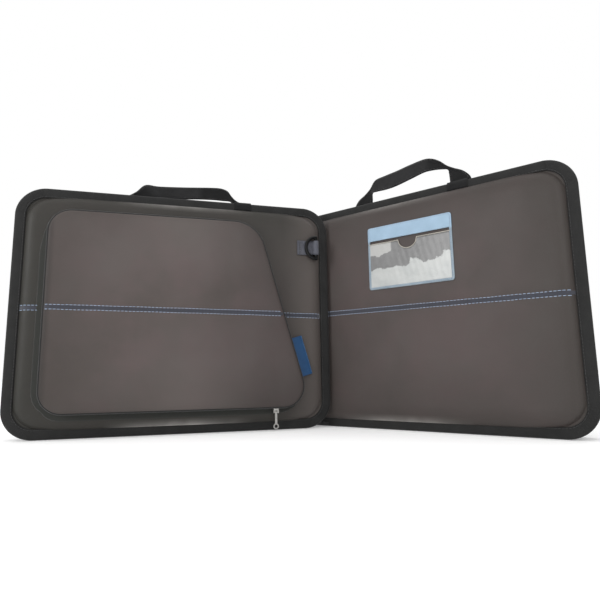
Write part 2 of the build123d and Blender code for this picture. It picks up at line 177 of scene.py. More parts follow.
class Leaf:
    """A leaf's own axes, measured from its CAD binding."""

    def __init__(self, name, along):
        self.name = name
        self.body = name + "_leaf"
        self.along = np.array(Vector(along).normalized())
        self.up = np.array((0.0, 0.0, 1.0))
        self.out = np.cross(self.along, self.up)
        co = node_points(name + "_binding")
        a, z, w = co @ self.along, co @ self.up, co @ self.out
        self.width = (a.max() - a.min()) / MM
        self.height = (z.max() - z.min()) / MM
        self.origin = (
            self.along * (a.max() + a.min()) / 2
            + self.up * (z.max() + z.min()) / 2
            + self.out * (w.min() + BAND_CLOTH * MM)
        )
        self.euler = Matrix((self.along, self.up, self.out)).transposed().to_euler()

    def loop(self, inset, per_side=24, per_corner=14):
        """The leaf's rounded outline, drawn in by an inset."""
        w, h = self.width / 2, self.height / 2
        corners = [(-w, -h), (w, -h), (w, h), (-w, h)]
        return polygon_loop(corners, [CORNER] * 4, inset, per_side, per_corner)

    def direction(self, vectors):
        """Directions in the leaf's axes, turned to the shared frame."""
        v = np.asarray(vectors, float)
        return v[..., 0:1] * self.along + v[..., 1:2] * self.up + v[..., 2:3] * self.out

    def place(self, points):
        """Leaf millimetres to metres in the shared frame."""
        return self.origin + self.direction(np.asarray(points, float) * MM)

    def local(self, points):
        """Points of the shared frame in leaf millimetres."""
        d = np.asarray(points, float) - self.origin
        return np.stack([d @ self.along, d @ self.up, d @ self.out], -1) / MM

    def span(self, node):
        """Lowest and highest leaf millimetres that a CAD node reaches."""
        local = self.local(node_points(node))
        return local.min(0), local.max(0)


front = Leaf("front", (1, 0, 0))
rear = Leaf("rear", joints["rear_handle_swing"]["axis"])


# ---- mesh helpers
def new_object(name, verts, faces, material, uvs=None, smooth=True):
    mesh = bpy.data.meshes.new(name)
    mesh.from_pydata([tuple(v) for v in verts], [], faces)
    mesh.polygons.foreach_set("use_smooth", [smooth] * len(mesh.polygons))
    if uvs is not None:
        layer = mesh.uv_layers.new(name="UVMap")
        layer.data.foreach_set("uv", np.asarray(uvs, np.float32).ravel())
    mesh.materials.append(material)
    mesh.validate()
    mesh.update()
    piece = bpy.data.objects.new(name, mesh)
    bpy.context.scene.collection.objects.link(piece)
    return piece


def belong(piece, body, node=None):
    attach(piece, body)
    if node:
        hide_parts(node)
    return piece


def surface(name, grid, material, around=True, across=False, caps=(False, False), turned=False):
    """A mesh over a grid of points: rows of loops, with arc lengths as UVs in metres."""
    grid = np.asarray(grid, float)
    rows, cols = grid.shape[:2]
    verts = grid.reshape(-1, 3)
    ring = np.concatenate([grid, grid[:, :1]], 1) if around else grid
    u = np.zeros(ring.shape[:2])
    u[:, 1:] = np.cumsum(np.linalg.norm(np.diff(ring, axis=1), axis=2), 1)
    u = u[rows // 2]
    tall = np.concatenate([grid, grid[:1]], 0) if across else grid
    v = np.zeros((tall.shape[0], cols))
    v[1:] = np.cumsum(np.linalg.norm(np.diff(tall, axis=0), axis=2), 0)
    v = v[:, cols // 2]
    faces, uvs = [], []
    for i in range(rows if across else rows - 1):
        for j in range(cols if around else cols - 1):
            quad = [(i, j), (i, j + 1), (i + 1, j + 1), (i + 1, j)]
            if turned:
                quad.reverse()
            faces.append([(a % rows) * cols + b % cols for a, b in quad])
            uvs += [(u[b], v[a]) for a, b in quad]
    for row, wanted in ((0, caps[0]), (rows - 1, caps[1])):
        if wanted:
            middle = len(verts)
            verts = np.vstack([verts, grid[row].mean(0)])
            for j in range(cols):
                tri = [row * cols + (j + 1) % cols, row * cols + j, middle]
                if (row > 0) != turned:
                    tri.reverse()
                faces.append(tri)
                uvs += [(0, 0)] * 3
    return new_object(name, verts, faces, material, uvs)


STRIP = {"around": False, "across": True}
CAPPED = {"caps": (True, True)}


def add(name, leaf, rows, material, slot, node=None, body=None, **shape):
    """A piece over rows of leaf points, on its leaf's body if no other is named."""
    piece = surface(name, leaf.place(rows), material, **shape)
    return belong(piece, body or leaf.body, node)


class Batch:
    """Many small parts in one mesh, such as stitches and zip teeth."""

    def __init__(self):
        self.verts, self.faces = [], []

    def add(self, verts, faces):
        first = len(self.verts)
        self.verts += [tuple(v) for v in verts]
        self.faces += [[first + k for k in f] for f in faces]

    def tube(self, path, radii, side, sides=6):
        """A short closed tube with its own radius at each point."""
        along = unit(path[-1] - path[0])
        side = unit(side - along * (side @ along))
        other = np.cross(along, side)
        verts = []
        for p, r in zip(path, radii):
            for k in range(sides):
                a = 2 * math.pi * k / sides
                verts.append(p + r * (math.cos(a) * side + math.sin(a) * other))
        faces = []
        for low in range(0, (len(path) - 1) * sides, sides):
            for k in range(sides):
                after = (k + 1) % sides
                faces.append([low + k, low + after, low + sides + after, low + sides + k])
        faces.append(list(range(sides))[::-1])
        faces.append([(len(path) - 1) * sides + k for k in range(sides)])
        self.add(verts, faces)

    def stitch(self, start, end, out, radius):
        """One thread stitch, diving into the cloth at both ends."""
        shape = ((0, -0.9, 0.6), (0.12, 0.35, 1), (0.5, 0.75, 1), (0.88, 0.35, 1), (1, -0.9, 0.6))
        path = [start + (end - start) * share + out * radius * rise for share, rise, _ in shape]
        self.tube(path, [radius * thick for _, _, thick in shape], out)

    def block(self, centre, x, y, z):
        """A small block with its top drawn in."""
        around = ((-1, -1), (1, -1), (1, 1), (-1, 1))
        verts = [centre + sx * x + sy * y - z for sx, sy in around]
        verts += [centre + 0.7 * sx * x + 0.7 * sy * y + z for sx, sy in around]
        sides = [[k, (k + 1) % 4, (k + 1) % 4 + 4, k + 4] for k in range(4)]
        self.add(verts, [[3, 2, 1, 0], [4, 5, 6, 7]] + sides)

    def finish(self, name, material):
        return new_object(name, self.verts, self.faces, material)


def sew(name, leaf, spans, radius, material, body=None):
    """Thread stitches: each span is a start and an end, and a facing if it isn't straight out."""
    sewn = Batch()
    for start, end, *facing in spans:
        start, end = leaf.place([start, end])
        sewn.stitch(start, end, leaf.direction(facing[0] if facing else (0, 0, 1)), radius * MM)
    belong(sewn.finish(name, material), body or leaf.body)


def dashes(line, share):
    """Both ends of one stitch in each step of a closed line."""
    return [(a, a + (b - a) * share) for a, b in zip(line, np.roll(line, -1, 0))]


def zip_coil(name, leaf, run, tooth):
    """Zip teeth along a line: tooth gives a middle and three half axes in leaf millimetres."""
    teeth = Batch()
    for a, b in zip(run[:-1], run[1:]):
        middle, *halves = tooth(a, unit(b - a))
        teeth.block(leaf.place(middle), *(leaf.direction(half) * MM for half in halves))
    belong(teeth.finish(name, coil_mat), leaf.body)


# ---- materials
class Nodes:
    """Short calls that add shader nodes to a tree."""

    def __init__(self, tree):
        self.tree = tree

    def node(self, kind, inputs=(), **props):
        n = self.tree.nodes.new("ShaderNode" + kind)
        for key, value in props.items():
            setattr(n, key, value)
        for key, value in dict(inputs).items():
            self.feed(n.inputs[key], value)
        return n

    def feed(self, socket, value):
        if isinstance(value, bpy.types.NodeSocket):
            self.tree.links.new(value, socket)
        else:
            socket.default_value = value

    def math(self, operation, a, b=0.0):
        return self.node("Math", {0: a, 1: b}, operation=operation).outputs[0]

    def plus(self, a, b):
        return self.math("ADD", a, b)

    def minus(self, a, b):
        return self.math("SUBTRACT", a, b)

    def times(self, a, b):
        return self.math("MULTIPLY", a, b)

    def larger(self, a, b):
        return self.math("MAXIMUM", a, b)

    def size(self, a):
        return self.math("ABSOLUTE", a)

    def spread(self, value, low, high, to_low=0.0, to_high=1.0):
        n = self.node("MapRange", {0: value, 1: low, 2: high, 3: to_low, 4: to_high})
        return n.outputs[0]

    def split(self, vector):
        return self.node("SeparateXYZ", {0: vector}).outputs


class Material(Nodes):
    """A node material with a principled shader, built up by short calls."""

    def __init__(self, name, **sockets):
        self.material = bpy.data.materials.new(name)
        self.material.use_nodes = True
        super().__init__(self.material.node_tree)
        self.shader = self.tree.nodes["Principled BSDF"]
        for key, value in sockets.items():
            self.shader.inputs[key.replace("_", " ")].default_value = value

    def noise(self, vector, scale, detail=2.0, roughness=0.5):
        inputs = {"Vector": vector, "Scale": scale, "Detail": detail, "Roughness": roughness}
        return self.node("TexNoise", inputs).outputs["Fac"]

    def mix(self, factor, a, b):
        """One colour over another, each of them a socket or three numbers."""
        a, b = (c if isinstance(c, bpy.types.NodeSocket) else (*c, 1.0) for c in (a, b))
        return self.node("Mix", {0: factor, 6: a, 7: b}, data_type="RGBA").outputs[2]

    def mottle(self, value, a, b, low=0.3, high=0.7):
        """From one colour to another as a value rises."""
        return self.mix(self.spread(value, low, high), a, b)

    def place(self, leaf=None):
        """Position in metres, in the leaf's own axes if a leaf is given."""
        here = self.node("TexCoord").outputs["Object"]
        if leaf is None:
            return here
        inputs = {"Vector": here, "Location": tuple(leaf.origin), "Rotation": tuple(leaf.euler)}
        return self.node("Mapping", inputs, vector_type="TEXTURE").outputs[0]

    def uv(self):
        return self.node("TexCoord").outputs["UV"]

    def wave(self, value, pitch):
        """A sine along a length in metres."""
        return self.math("SINE", self.times(value, 2 * math.pi / pitch))

    def weave(self, a, b, pitch):
        """Plain weave: threads over and under each other."""
        return self.times(self.wave(a, pitch), self.wave(b, pitch))

    def colour(self, value):
        self.feed(self.shader.inputs["Base Color"], value)

    def roughness(self, value):
        self.feed(self.shader.inputs["Roughness"], value)

    def rough(self, value, a, b):
        """Roughness from one figure to another as a value rises."""
        self.roughness(self.spread(value, 0.3, 0.7, a, b))

    def bump(self, height, strength, distance, under=None):
        n = self.node("Bump", {"Height": height, "Strength": strength, "Distance": distance})
        if under is not None:
            self.feed(n.inputs["Normal"], under)
        return n.outputs[0]

    def normal(self, value):
        self.feed(self.shader.inputs["Normal"], value)
        return self.material


SEAM = {"front": -0.6, "rear": 0.9}
SEAM_SLOPE = {"front": -0.0105, "rear": -0.0095}
SEAM_HALF = 2.7
SEAM_GROOVE = 0.0062
# where along each leaf, in millimetres, the painted highlight on the slopes is centred
PAINTED_HIGHLIGHT_X = {"front": 2.0, "rear": -20.0}
RIGHT_SHADE = {"front": 0.35, "rear": 1.0}


def shell_cloth(name, leaf, dark, light, warm, edge, painted_highlight, rim=None, spine_side=None):
    """Coated cloth moulded over foam: fine weave, satin sheen, blotchy colour, a sewn channel.

    It darkens towards the edges, which is painted shade, and is paler on the steep slopes near the middle,
    which is a painted highlight.
    """
    m = Material(name, Specular_IOR_Level=0.22, Sheen_Weight=0.03, Sheen_Roughness=0.4)
    place = m.place(leaf)
    x, y, z = m.split(place)
    weave = m.weave(m.plus(x, z), y, 0.0011)
    base = m.mottle(m.noise(place, 9.0, 3.0, 0.55), dark, light, 0.35, 0.65)
    base = m.mix(m.spread(m.noise(place, 26.0, 3.0, 0.6), 0.4, 0.7, 0.0, 0.55), base, warm)
    # Painted shade: the colour darkens into the edge colour towards the leaf's ends and towards its top and
    # bottom; RIGHT_SHADE sets how much of it reaches the right end.
    ends = m.larger(m.times(x, -1.0), m.times(x, RIGHT_SHADE[leaf.name]))
    far_y = m.spread(m.size(y), 0.060, 0.138, 0.0, 0.8)
    base = m.mix(m.times(m.larger(m.spread(ends, 0.070, 0.178), far_y), 0.75), base, edge)
    normal = m.node("TexCoord").outputs["Normal"]
    facing = m.node("VectorMath", {0: normal, 1: tuple(leaf.out)}, operation="DOT_PRODUCT")
    steep = m.spread(facing.outputs["Value"], 0.97, 0.55)
    # Painted highlight: a paler colour on the steep slopes near the leaf's middle, where light from the
    # floor and the sky would be reflected; the roughness is also lowered there.
    middle = m.spread(m.size(m.minus(x, PAINTED_HIGHLIGHT_X[leaf.name] * MM)), 0.015, 0.088, 1.0, 0.0)
    wear_and_painted_light = m.times(m.times(steep, middle), m.spread(m.noise(place, 55.0), 0.25, 0.6, 0.6, 1.0))
    # The painted highlight is stronger on the lower slopes than on the upper ones.
    wear_and_painted_light = m.times(wear_and_painted_light, m.spread(y, -0.05, 0.05, 1.0, 0.55))
    if rim:
        # Painted shade: darker along the cover's left edge.
        base = m.mix(m.spread(x, rim + 0.0012, rim + 0.0095, 0.72, 0.0), base, (0.016, 0.014, 0.013))
        # Painted shade: the cover darkens towards its right side, near the spine.
        base = m.mix(m.spread(x, 0.000, 0.112, 0.0, 0.27), base, (0.004, 0.0035, 0.0035))
        # Painted highlight: paler near the middle of the cover's top and bottom.
        glow = m.times(middle, m.spread(m.size(y), 0.045, 0.105, 0.0, 0.22))
        base = m.mix(glow, base, (0.19, 0.165, 0.155))
    # Painted light: the front tray is paler near the spine, standing in for light that reaches it there.
    if spine_side:
        base = m.mix(m.spread(x, 0.128, 0.164, 0.0, 0.85), base, spine_side)
    # Lay the painted highlight's colour on the slopes.
    base = m.mix(wear_and_painted_light, base, painted_highlight)
    base = m.mix(m.spread(weave, -0.4, 0.9, 0.16, 0.0), base, (0.006, 0.0055, 0.0055))
    fleck = m.spread(m.noise(place, 900.0, 2.0, 0.7), 0.5, 0.8, 0.0, 0.06)
    m.colour(m.mix(fleck, base, (0.16, 0.155, 0.15)))
    rough = m.spread(m.noise(place, 40.0, 3.0), 0.3, 0.7, 0.43, 0.53)
    m.roughness(m.minus(rough, m.times(wear_and_painted_light, 0.14)))
    level = m.plus(m.times(x, SEAM_SLOPE[leaf.name]), SEAM[leaf.name] * MM)
    fall = m.math("DIVIDE", m.minus(y, level), SEAM_GROOVE)
    groove = m.math("EXPONENT", m.times(m.times(fall, fall), -1.0))
    pull = m.plus(0.82, m.times(m.wave(x, 0.021), 0.10))
    low = m.bump(m.times(groove, pull), 0.75, -0.0011)
    soft = m.bump(m.noise(place, 14.0, 3.0, 0.5), 0.35, 0.0035, low)
    return m.normal(m.bump(weave, 0.22, 0.00012, soft))


def ribbed(name, colour, light, pitch, strength=0.5, rough=0.72, ends=None):
    """Webbing or binding tape: ribs across its length, a fine weave along it.

    Where its length is given, both of its ends are darker, which is painted shade where the strap turns down
    to its feet.
    """
    m = Material(name, Specular_IOR_Level=0.22, Sheen_Weight=0.08, Sheen_Roughness=0.5)
    u, v, _ = m.split(m.uv())
    rib = m.wave(u, pitch)
    place = m.place()
    cloud = m.noise(place, 60.0, 4.0, 0.6)
    fuzz = m.noise(place, 1500.0, 2.0, 0.6)
    base = m.mottle(cloud, colour, light, 0.35)
    base = m.mix(m.spread(rib, -1.0, 0.2, 0.45, 0.0), base, (0.004, 0.004, 0.004))
    base = m.mix(m.spread(fuzz, 0.55, 0.8, 0.0, 0.12), base, (0.16, 0.16, 0.17))
    if ends:
        # Painted shade: near-black towards both ends of the strap.
        wear_and_painted_light = m.larger(m.spread(u, 0.032, 0.042, 1.0, 0.0), m.spread(u, ends - 0.052, ends - 0.044))
        base = m.mix(m.times(wear_and_painted_light, 0.82), base, (0.002, 0.002, 0.0024))
    m.colour(base)
    m.rough(cloud, rough - 0.06, rough + 0.08)
    ribs = m.plus(rib, m.times(m.wave(v, pitch * 0.8), 0.3))
    return m.normal(m.bump(m.plus(ribs, m.times(fuzz, 0.6)), strength, 0.00018))


def plain_cloth(name, colour, light, pitch, rough=0.85, leaf=None, strength=0.35):
    """Flat woven cloth or knitted lining, without direction."""
    m = Material(name, Specular_IOR_Level=0.3, Sheen_Weight=0.3, Sheen_Roughness=0.5)
    place = m.place(leaf)
    x, y, z = m.split(place)
    weave = m.weave(m.plus(x, z), m.plus(y, z), pitch)
    cloud = m.noise(place, 30.0, 4.0, 0.6)
    base = m.mottle(cloud, colour, light)
    m.colour(m.mix(m.spread(weave, -0.6, 0.9, 0.35, 0.0), base, (0.005, 0.005, 0.006)))
    m.rough(cloud, rough - 0.08, min(rough + 0.08, 1))
    return m.normal(m.bump(weave, strength, 0.0002, m.bump(cloud, 0.25, 0.002)))


def thread(name, colour, light):
    m = Material(name, Roughness=0.55, Specular_IOR_Level=0.4, Sheen_Weight=0.3)
    x, y, z = m.split(m.place())
    twist = m.wave(m.plus(m.plus(x, y), z), 0.0006)
    m.colour(m.mottle(twist, colour, light, -1.0, 1.0))
    return m.normal(m.bump(twist, 0.4, 0.0001))


def metal(name, colour, rough):
    m = Material(name, Metallic=1.0)
    place = m.place()
    cloud = m.noise(place, 240.0, 5.0, 0.65)
    m.colour(m.mottle(cloud, colour, [c * 0.72 for c in colour], 0.35, 0.75))
    m.roughness(m.spread(cloud, 0.3, 0.8, rough, rough + 0.08))
    return m.normal(m.bump(m.noise(place, 2200.0, 2.0, 0.6), 0.12, 0.00008))


def enamel(name, colour, wear_and_painted_light):
    """Painted metal: glossy, with a little wear and dust."""
    m = Material(name, Metallic=0.0, Specular_IOR_Level=0.25, Coat_Weight=0.06, Coat_Roughness=0.2)
    place = m.place()
    cloud = m.noise(place, 300.0, 5.0, 0.7)
    m.colour(m.mix(m.spread(cloud, 0.6, 0.72, 0.0, 0.35), colour, wear_and_painted_light))
    m.rough(cloud, 0.26, 0.42)
    return m.normal(m.bump(m.noise(place, 900.0), 0.12, 0.0001))


def plastic(name, colour, rough=0.5, grain=900.0):
    m = Material(name, Specular_IOR_Level=0.5)
    place = m.place()
    cloud = m.noise(place, 45.0, 4.0, 0.6)
    m.colour(m.mottle(cloud, colour, [min(1.0, c * 1.35) for c in colour]))
    m.rough(cloud, rough - 0.06, rough + 0.08)
    return m.normal(m.bump(m.noise(place, grain, 3.0, 0.6), 0.25, 0.00012))


POCKET_LEFT = 38.0 - front.width / 2
# Colours of each cloth: dark, light, warm blotches, the edge colour of the painted shade and the colour of
# the painted highlight. The front tray is given darker, greener colours than the pocket cover beside it,
# which is painted shade; its spine_side colour is painted light.
cloth = {
    "front": shell_cloth(
        "front_tray_cloth", front, (0.048, 0.043, 0.039), (0.062, 0.054, 0.049), (0.060, 0.048, 0.045),
        (0.0235, 0.0245, 0.0205), (0.480, 0.460, 0.440), spine_side=(0.092, 0.079, 0.073),
    ),
    "rear": shell_cloth(
        "rear_tray_cloth", rear, (0.066, 0.0535, 0.0500), (0.082, 0.0670, 0.0635), (0.088, 0.0630, 0.0620),
        (0.040, 0.0357, 0.0315), (0.400, 0.380, 0.360),
    ),
}
cover_cloth = shell_cloth(
    "pocket_cloth", front, (0.078, 0.0640, 0.0590), (0.102, 0.0850, 0.0810), (0.108, 0.0790, 0.0780),
    (0.044, 0.0390, 0.0345), (0.085, 0.0740, 0.0690), rim=POCKET_LEFT * MM,
)
binding_mat = ribbed("binding_tape", (0.0118, 0.0118, 0.0116), (0.0215, 0.0215, 0.021), 0.0011, 0.35)
tab_mat = ribbed("tab_webbing", (0.085, 0.088, 0.108), (0.13, 0.135, 0.16), 0.0012, 0.7, 0.6)
wall_mat = plain_cloth("wall_cloth", (0.016, 0.016, 0.017), (0.028, 0.028, 0.029), 0.0009)
patch_mat = plain_cloth("patch_cloth", (0.012, 0.012, 0.013), (0.022, 0.022, 0.023), 0.0012, 0.8, None, 0.6)
# dark olive cloth of the pocket's gusset, whose spread foot is a painted shadow
gusset_and_shadow_mat = plain_cloth("gusset_and_shadow_cloth", (0.017, 0.0178, 0.0145), (0.026, 0.027, 0.0225), 0.0009)
tape_mat = plain_cloth("zip_tape", (0.010, 0.010, 0.011), (0.017, 0.017, 0.018), 0.0006, 0.75)
piping_mat = plain_cloth("pocket_piping", (0.006, 0.006, 0.006), (0.013, 0.013, 0.0125), 0.0007, 0.7)
coil_mat = plastic("zip_coil", (0.008, 0.008, 0.009), 0.35, 1500.0)
seam_mat = plain_cloth("seam_tape", (0.034, 0.036, 0.050), (0.048, 0.052, 0.070), 0.0008, 0.65)
light_thread = thread("light_thread", (0.22, 0.30, 0.45), (0.42, 0.52, 0.68))
dark_thread = thread("dark_thread", (0.012, 0.012, 0.012), (0.035, 0.035, 0.036))
blue_thread = thread("blue_thread", (0.16, 0.22, 0.32), (0.34, 0.42, 0.52))


# ---- moulded trays
# profiles and sections are pairs: inset from the outline, height out of the leaf
TRAY_PROFILE = np.array([
    (9.0, 2.3), (11.6, 2.35), (12.2, 2.7), (12.7, 3.6), (13.3, 4.6), (14.1, 5.65), (15.1, 6.7),
    (16.3, 7.7), (17.7, 8.6), (19.4, 9.4), (21.4, 10.05), (23.8, 10.55), (26.6, 10.87), (30.0, 11.0),
    (36.0, 11.02),
])
TRAY_INSIDE = [
    (21.75, 8.5), (21.0, 8.35), (20.0, 7.4), (17.0, 4.3), (14.0, 1.2), (13.25, 0.25), (12.6, 0.0),
    (11.0, 0.0),
]
FACE_CORNER = 41.0
FACE_EDGE = 31.0
OVERHANG = 2.8


def tray_inset(leaf, x, y):
    """Distance in from the leaf's edge, with the corners of the raised face drawn round."""
    across = np.clip(FACE_CORNER - (leaf.width / 2 - np.abs(x)), 0, None)
    upward = np.clip(FACE_CORNER - (leaf.height / 2 - np.abs(y)), 0, None)
    return FACE_CORNER - np.hypot(across, upward)


def tray_height(leaf, x, y):
    """Height of the tray's outer face over the leaf's plane."""
    inset = tray_inset(leaf, x, y)
    base = np.interp(inset, TRAY_PROFILE[:, 0], TRAY_PROFILE[:, 1])
    soft = np.clip((inset - 18) / 14, 0, 1)
    return base + soft * 0.22 * ripple(x, y, 11 if leaf.name == "front" else 12) - 0.12 * soft


def overhang(leaf, loop, inset):
    """Lets the foam bulge over the band along the middle of the long sides."""
    x, y = loop[:, 0], loop[:, 1]
    reach = np.clip((leaf.width / 2 - 26.0 - np.abs(x)) / 46.0, 0, 1)
    near = np.clip((np.abs(y) - leaf.height / 2 + 40.0) / 10.0, 0, 1)
    fade = np.clip((25.0 - inset) / 11.0, 0, 1)
    moved = loop.copy()
    moved[:, 1] = y + np.sign(y) * OVERHANG * fade * near * reach * reach * (3 - 2 * reach)
    return moved


def make_tray(leaf):
    inset, floor = TRAY_INSIDE[0]
    rows = drawn_in(leaf.loop(inset), (0.15, 0.5, 0.85), floor)
    rows += stack(leaf.loop, TRAY_INSIDE)
    for inset in np.concatenate([np.arange(11.0, 20.0, 0.5), np.arange(20.0, FACE_EDGE + 0.1, 1.0)]):
        loop = leaf.loop(inset)
        height = tray_height(leaf, loop[:, 0], loop[:, 1])
        rows.append(lifted(overhang(leaf, loop, inset), height))
    face = leaf.loop(FACE_EDGE)
    rows += drawn_in(face, np.linspace(0.97, 0.02, 34), lambda x, y: tray_height(leaf, x, y))
    name, mat = leaf.name + "_moulded_tray", cloth[leaf.name]
    tray = add(name, leaf, rows, mat, "moulded_shell", leaf.name + "_shell", **CAPPED)


# ---- binding
BAND_SECTION = [
    (12.0, 2.75), (12.15, 3.15), (11.8, 3.62), (10.8, 3.92), (9.0, 4.08), (6.0, 4.16), (3.4, 4.05),
    (1.7, 3.7), (0.65, 3.0), (0.12, 2.0), (0.0, 1.2), (0.15, 0.2), (0.75, -0.7), (1.8, -1.25),
    (3.4, -1.48), (6.5, -1.5), (9.6, -1.5), (11.4, -1.42), (12.1, -1.0), (12.15, -0.5), (12.0, -0.05),
    (10.6, 0.3), (10.6, 2.2),
]
PUCKERS = 21


def make_binding(leaf):
    """Tape folded over the flange, gathered in small puckers round each corner."""
    per_side, per_corner = 70, 72
    count = len(leaf.loop(0, per_side, per_corner))
    place = np.arange(count) % (per_corner + per_side)
    in_corner = np.clip(np.minimum(place + 3, per_corner + 3 - place) / 6.0, 0, 1)
    phase = place / per_corner * 2 * math.pi * PUCKERS
    jitter = np.array([random.uniform(0.6, 1.2) for _ in range(count)])
    smooth = np.convolve(np.concatenate([jitter, jitter[:8]]), np.ones(9) / 9, "valid")[:count]
    rows = []
    for inset, w in BAND_SECTION:
        loop = leaf.loop(inset, per_side, per_corner)
        on_face = max(0.0, min(1.0, (w - 2.4) / 1.2)) if inset < 11.9 else 0.4
        uneven = 0.10 * ripple(loop[:, 0], loop[:, 1], 21, 0.5)
        rows.append(lifted(loop, w + on_face * (0.20 * np.sin(phase) * in_corner * smooth + uneven)))
    name, node = leaf.name + "_edge_binding", leaf.name + "_binding"
    add(name, leaf, rows, binding_mat, "binding_cloth", node, across=True)
    line = lifted(resample(leaf.loop(10.6, 90, 13), 3.4), 4.0)
    sew(leaf.name + "_binding_stitches", leaf, dashes(line, 0.72), 0.28, dark_thread)


# ---- sewn channel across the leaves
CHANNEL_SECTION = (
    (-2.2, -0.12), (-1.8, 0.14), (-0.9, 0.2), (0, 0.14), (0.9, 0.2), (1.8, 0.14), (2.2, -0.12),
)
STITCH_STEP, STITCH_LENGTH = 4.25, 3.15


def seam_level(leaf, x):
    """Height of the sewn line at a place along the leaf."""
    return SEAM[leaf.name] + SEAM_SLOPE[leaf.name] * x


def channel(name, leaf, x0, x1, height, body=None):
    """The narrow blue-grey tape between two rows of light stitches."""
    xs = np.linspace(x0, x1, max(3, int((x1 - x0) / 2.0)))
    rows = []
    for dy, lift in CHANNEL_SECTION:
        ys = seam_level(leaf, xs) + dy + 0.12 * np.sin(xs / 23.0)
        rows.append(np.stack([xs, ys, height(xs, ys) + lift], 1))
    add(name, leaf, rows, seam_mat, "moulded_shell", body=body, around=False, turned=True)
    spans = []
    for side in (-1, 1):
        x = x0 + 0.6
        while x + 3.2 < x1:
            y = seam_level(leaf, x) + side * SEAM_HALF + 0.10 * math.sin(x / 9.0 + side)
            length = STITCH_LENGTH + random.uniform(-0.2, 0.2)
            ends = np.array([(x, y), (x + length, y + random.uniform(-0.12, 0.12))])
            spans.append(lifted(ends, height(ends[:, 0], ends[:, 1]) + 0.12))
            x += STITCH_STEP
    sew(name + "_stitches", leaf, spans, 0.34, light_thread, body)


# ---- pocket
POCKET_LOW, POCKET_HIGH = 27.0 - front.height / 2, front.height / 2 - 29.0
POCKET = [
    (POCKET_LEFT, POCKET_LOW),
    (front.width / 2 - 32.0, POCKET_LOW),
    (front.width / 2 - 99.5, POCKET_HIGH),
    (POCKET_LEFT, POCKET_HIGH),
]
POCKET_RADII = [27.0, 27.0, 42.0, 27.0]
POCKET_MIDDLE = np.array([-20.0, -6.0])
COVER_BACK = 20.1
COVER_PROFILE = np.array([
    (2.4, COVER_BACK), (1.8, 20.2), (1.6, 20.9), (1.5, 21.8), (1.65, 22.5), (2.1, 23.1), (2.9, 23.6),
    (4.2, 24.05), (6.4, 24.4), (9.5, 24.65), (14.0, 24.85), (20.0, 24.95),
])
COVER_FACE = COVER_PROFILE[3:]
GUSSET_SECTION = [
    (3.1, 11.1), (3.0, 15.0), (3.2, 19.4), (2.2, 19.65), (1.3, 19.4), (0.95, 16.5), (0.95, 14.9),
]
# how far the foot is spread, and its height over the tray; the spread foot is a painted shadow
FOOT_SECTION = [(0.12, 2.75), (0.3, 2.1), (0.55, 1.35), (0.8, 0.75), (0.97, 0.35), (1.0, 0.12), (0.6, 0.1)]
# how far the dark foot reaches out over the tray, a painted shadow round the pocket
SHADOW_FLARE = 7.5
PIPING_RADIUS = 1.25


def pocket_loop(inset, per_side=24, per_corner=14):
    return polygon_loop(POCKET, POCKET_RADII, inset, per_side, per_corner)


def swell(inset, x, y):
    """Doming and unevenness of the cover, over its profile."""
    soft = np.clip((inset - 3) / 16, 0, 1)
    return soft * (0.9 * np.clip(inset / 90.0, 0, 1) ** 0.7 + 0.30 * ripple(x, y, 31))


def cover_height(x, y):
    """Height of the pocket cover's outer face."""
    inset = edge_distance(POCKET, np.stack([x, y], -1))
    return np.interp(inset, COVER_FACE[:, 0], COVER_FACE[:, 1]) + swell(inset, x, y)


def shadow_flare_share(points):
    """How far the gusset's dark foot spreads over the tray as a painted shadow: wide on the left and below,
    tight on the other sides.
    """
    x, y = points[:, 0], points[:, 1]
    left = np.clip((POCKET_LEFT + 26.0 - x) / 22.0, 0, 1)
    low = np.clip((POCKET_LOW + 26.0 - y) / 22.0, 0, 1)
    below_top = np.clip((POCKET_HIGH - 6.0 - y) / 40.0, 0.35, 1)
    tight = np.clip((POCKET[1][0] - 4.0 - x) / 40.0, 0, 1)
    return 0.14 + 0.86 * np.maximum(left * below_top, low * tight)


def slanted_edge(y):
    """x of the pocket's slanted side at a height."""
    (x0, y0), (x1, y1) = POCKET[1], POCKET[2]
    return x0 + (x1 - x0) * (y - y0) / (y1 - y0)


def make_cover():
    rows = drawn_in(pocket_loop(1.5), (0.05, 0.5, 0.95), COVER_BACK, POCKET_MIDDLE)
    rows += stack(pocket_loop, COVER_PROFILE[:3])
    for inset, w in COVER_FACE:
        loop = pocket_loop(inset)
        rows.append(lifted(loop, w + swell(inset, loop[:, 0], loop[:, 1])))
    face = pocket_loop(COVER_FACE[-1][0])
    rows += drawn_in(face, np.linspace(0.965, 0.02, 32), cover_height, POCKET_MIDDLE)
    name, node = "pocket_cover_pad", "pocket_cover"
    cover = add(name, front, rows, cover_cloth, "moulded_shell", node, body=node, **CAPPED)

    # A dark cord along the cover's edge; it also stands in for the shade line there, so it is partly painted
    # shade.
    rows = []
    for a in np.linspace(0, 2 * math.pi, 13)[:-1]:
        loop = pocket_loop(PIPING_RADIUS * (1 - math.cos(a)), 40, 14)
        rows.append(lifted(loop, 21.55 + 1.3 * math.sin(a)))
    add("pocket_piping", front, rows, piping_mat, "zip_teeth", body="pocket_cover", across=True)


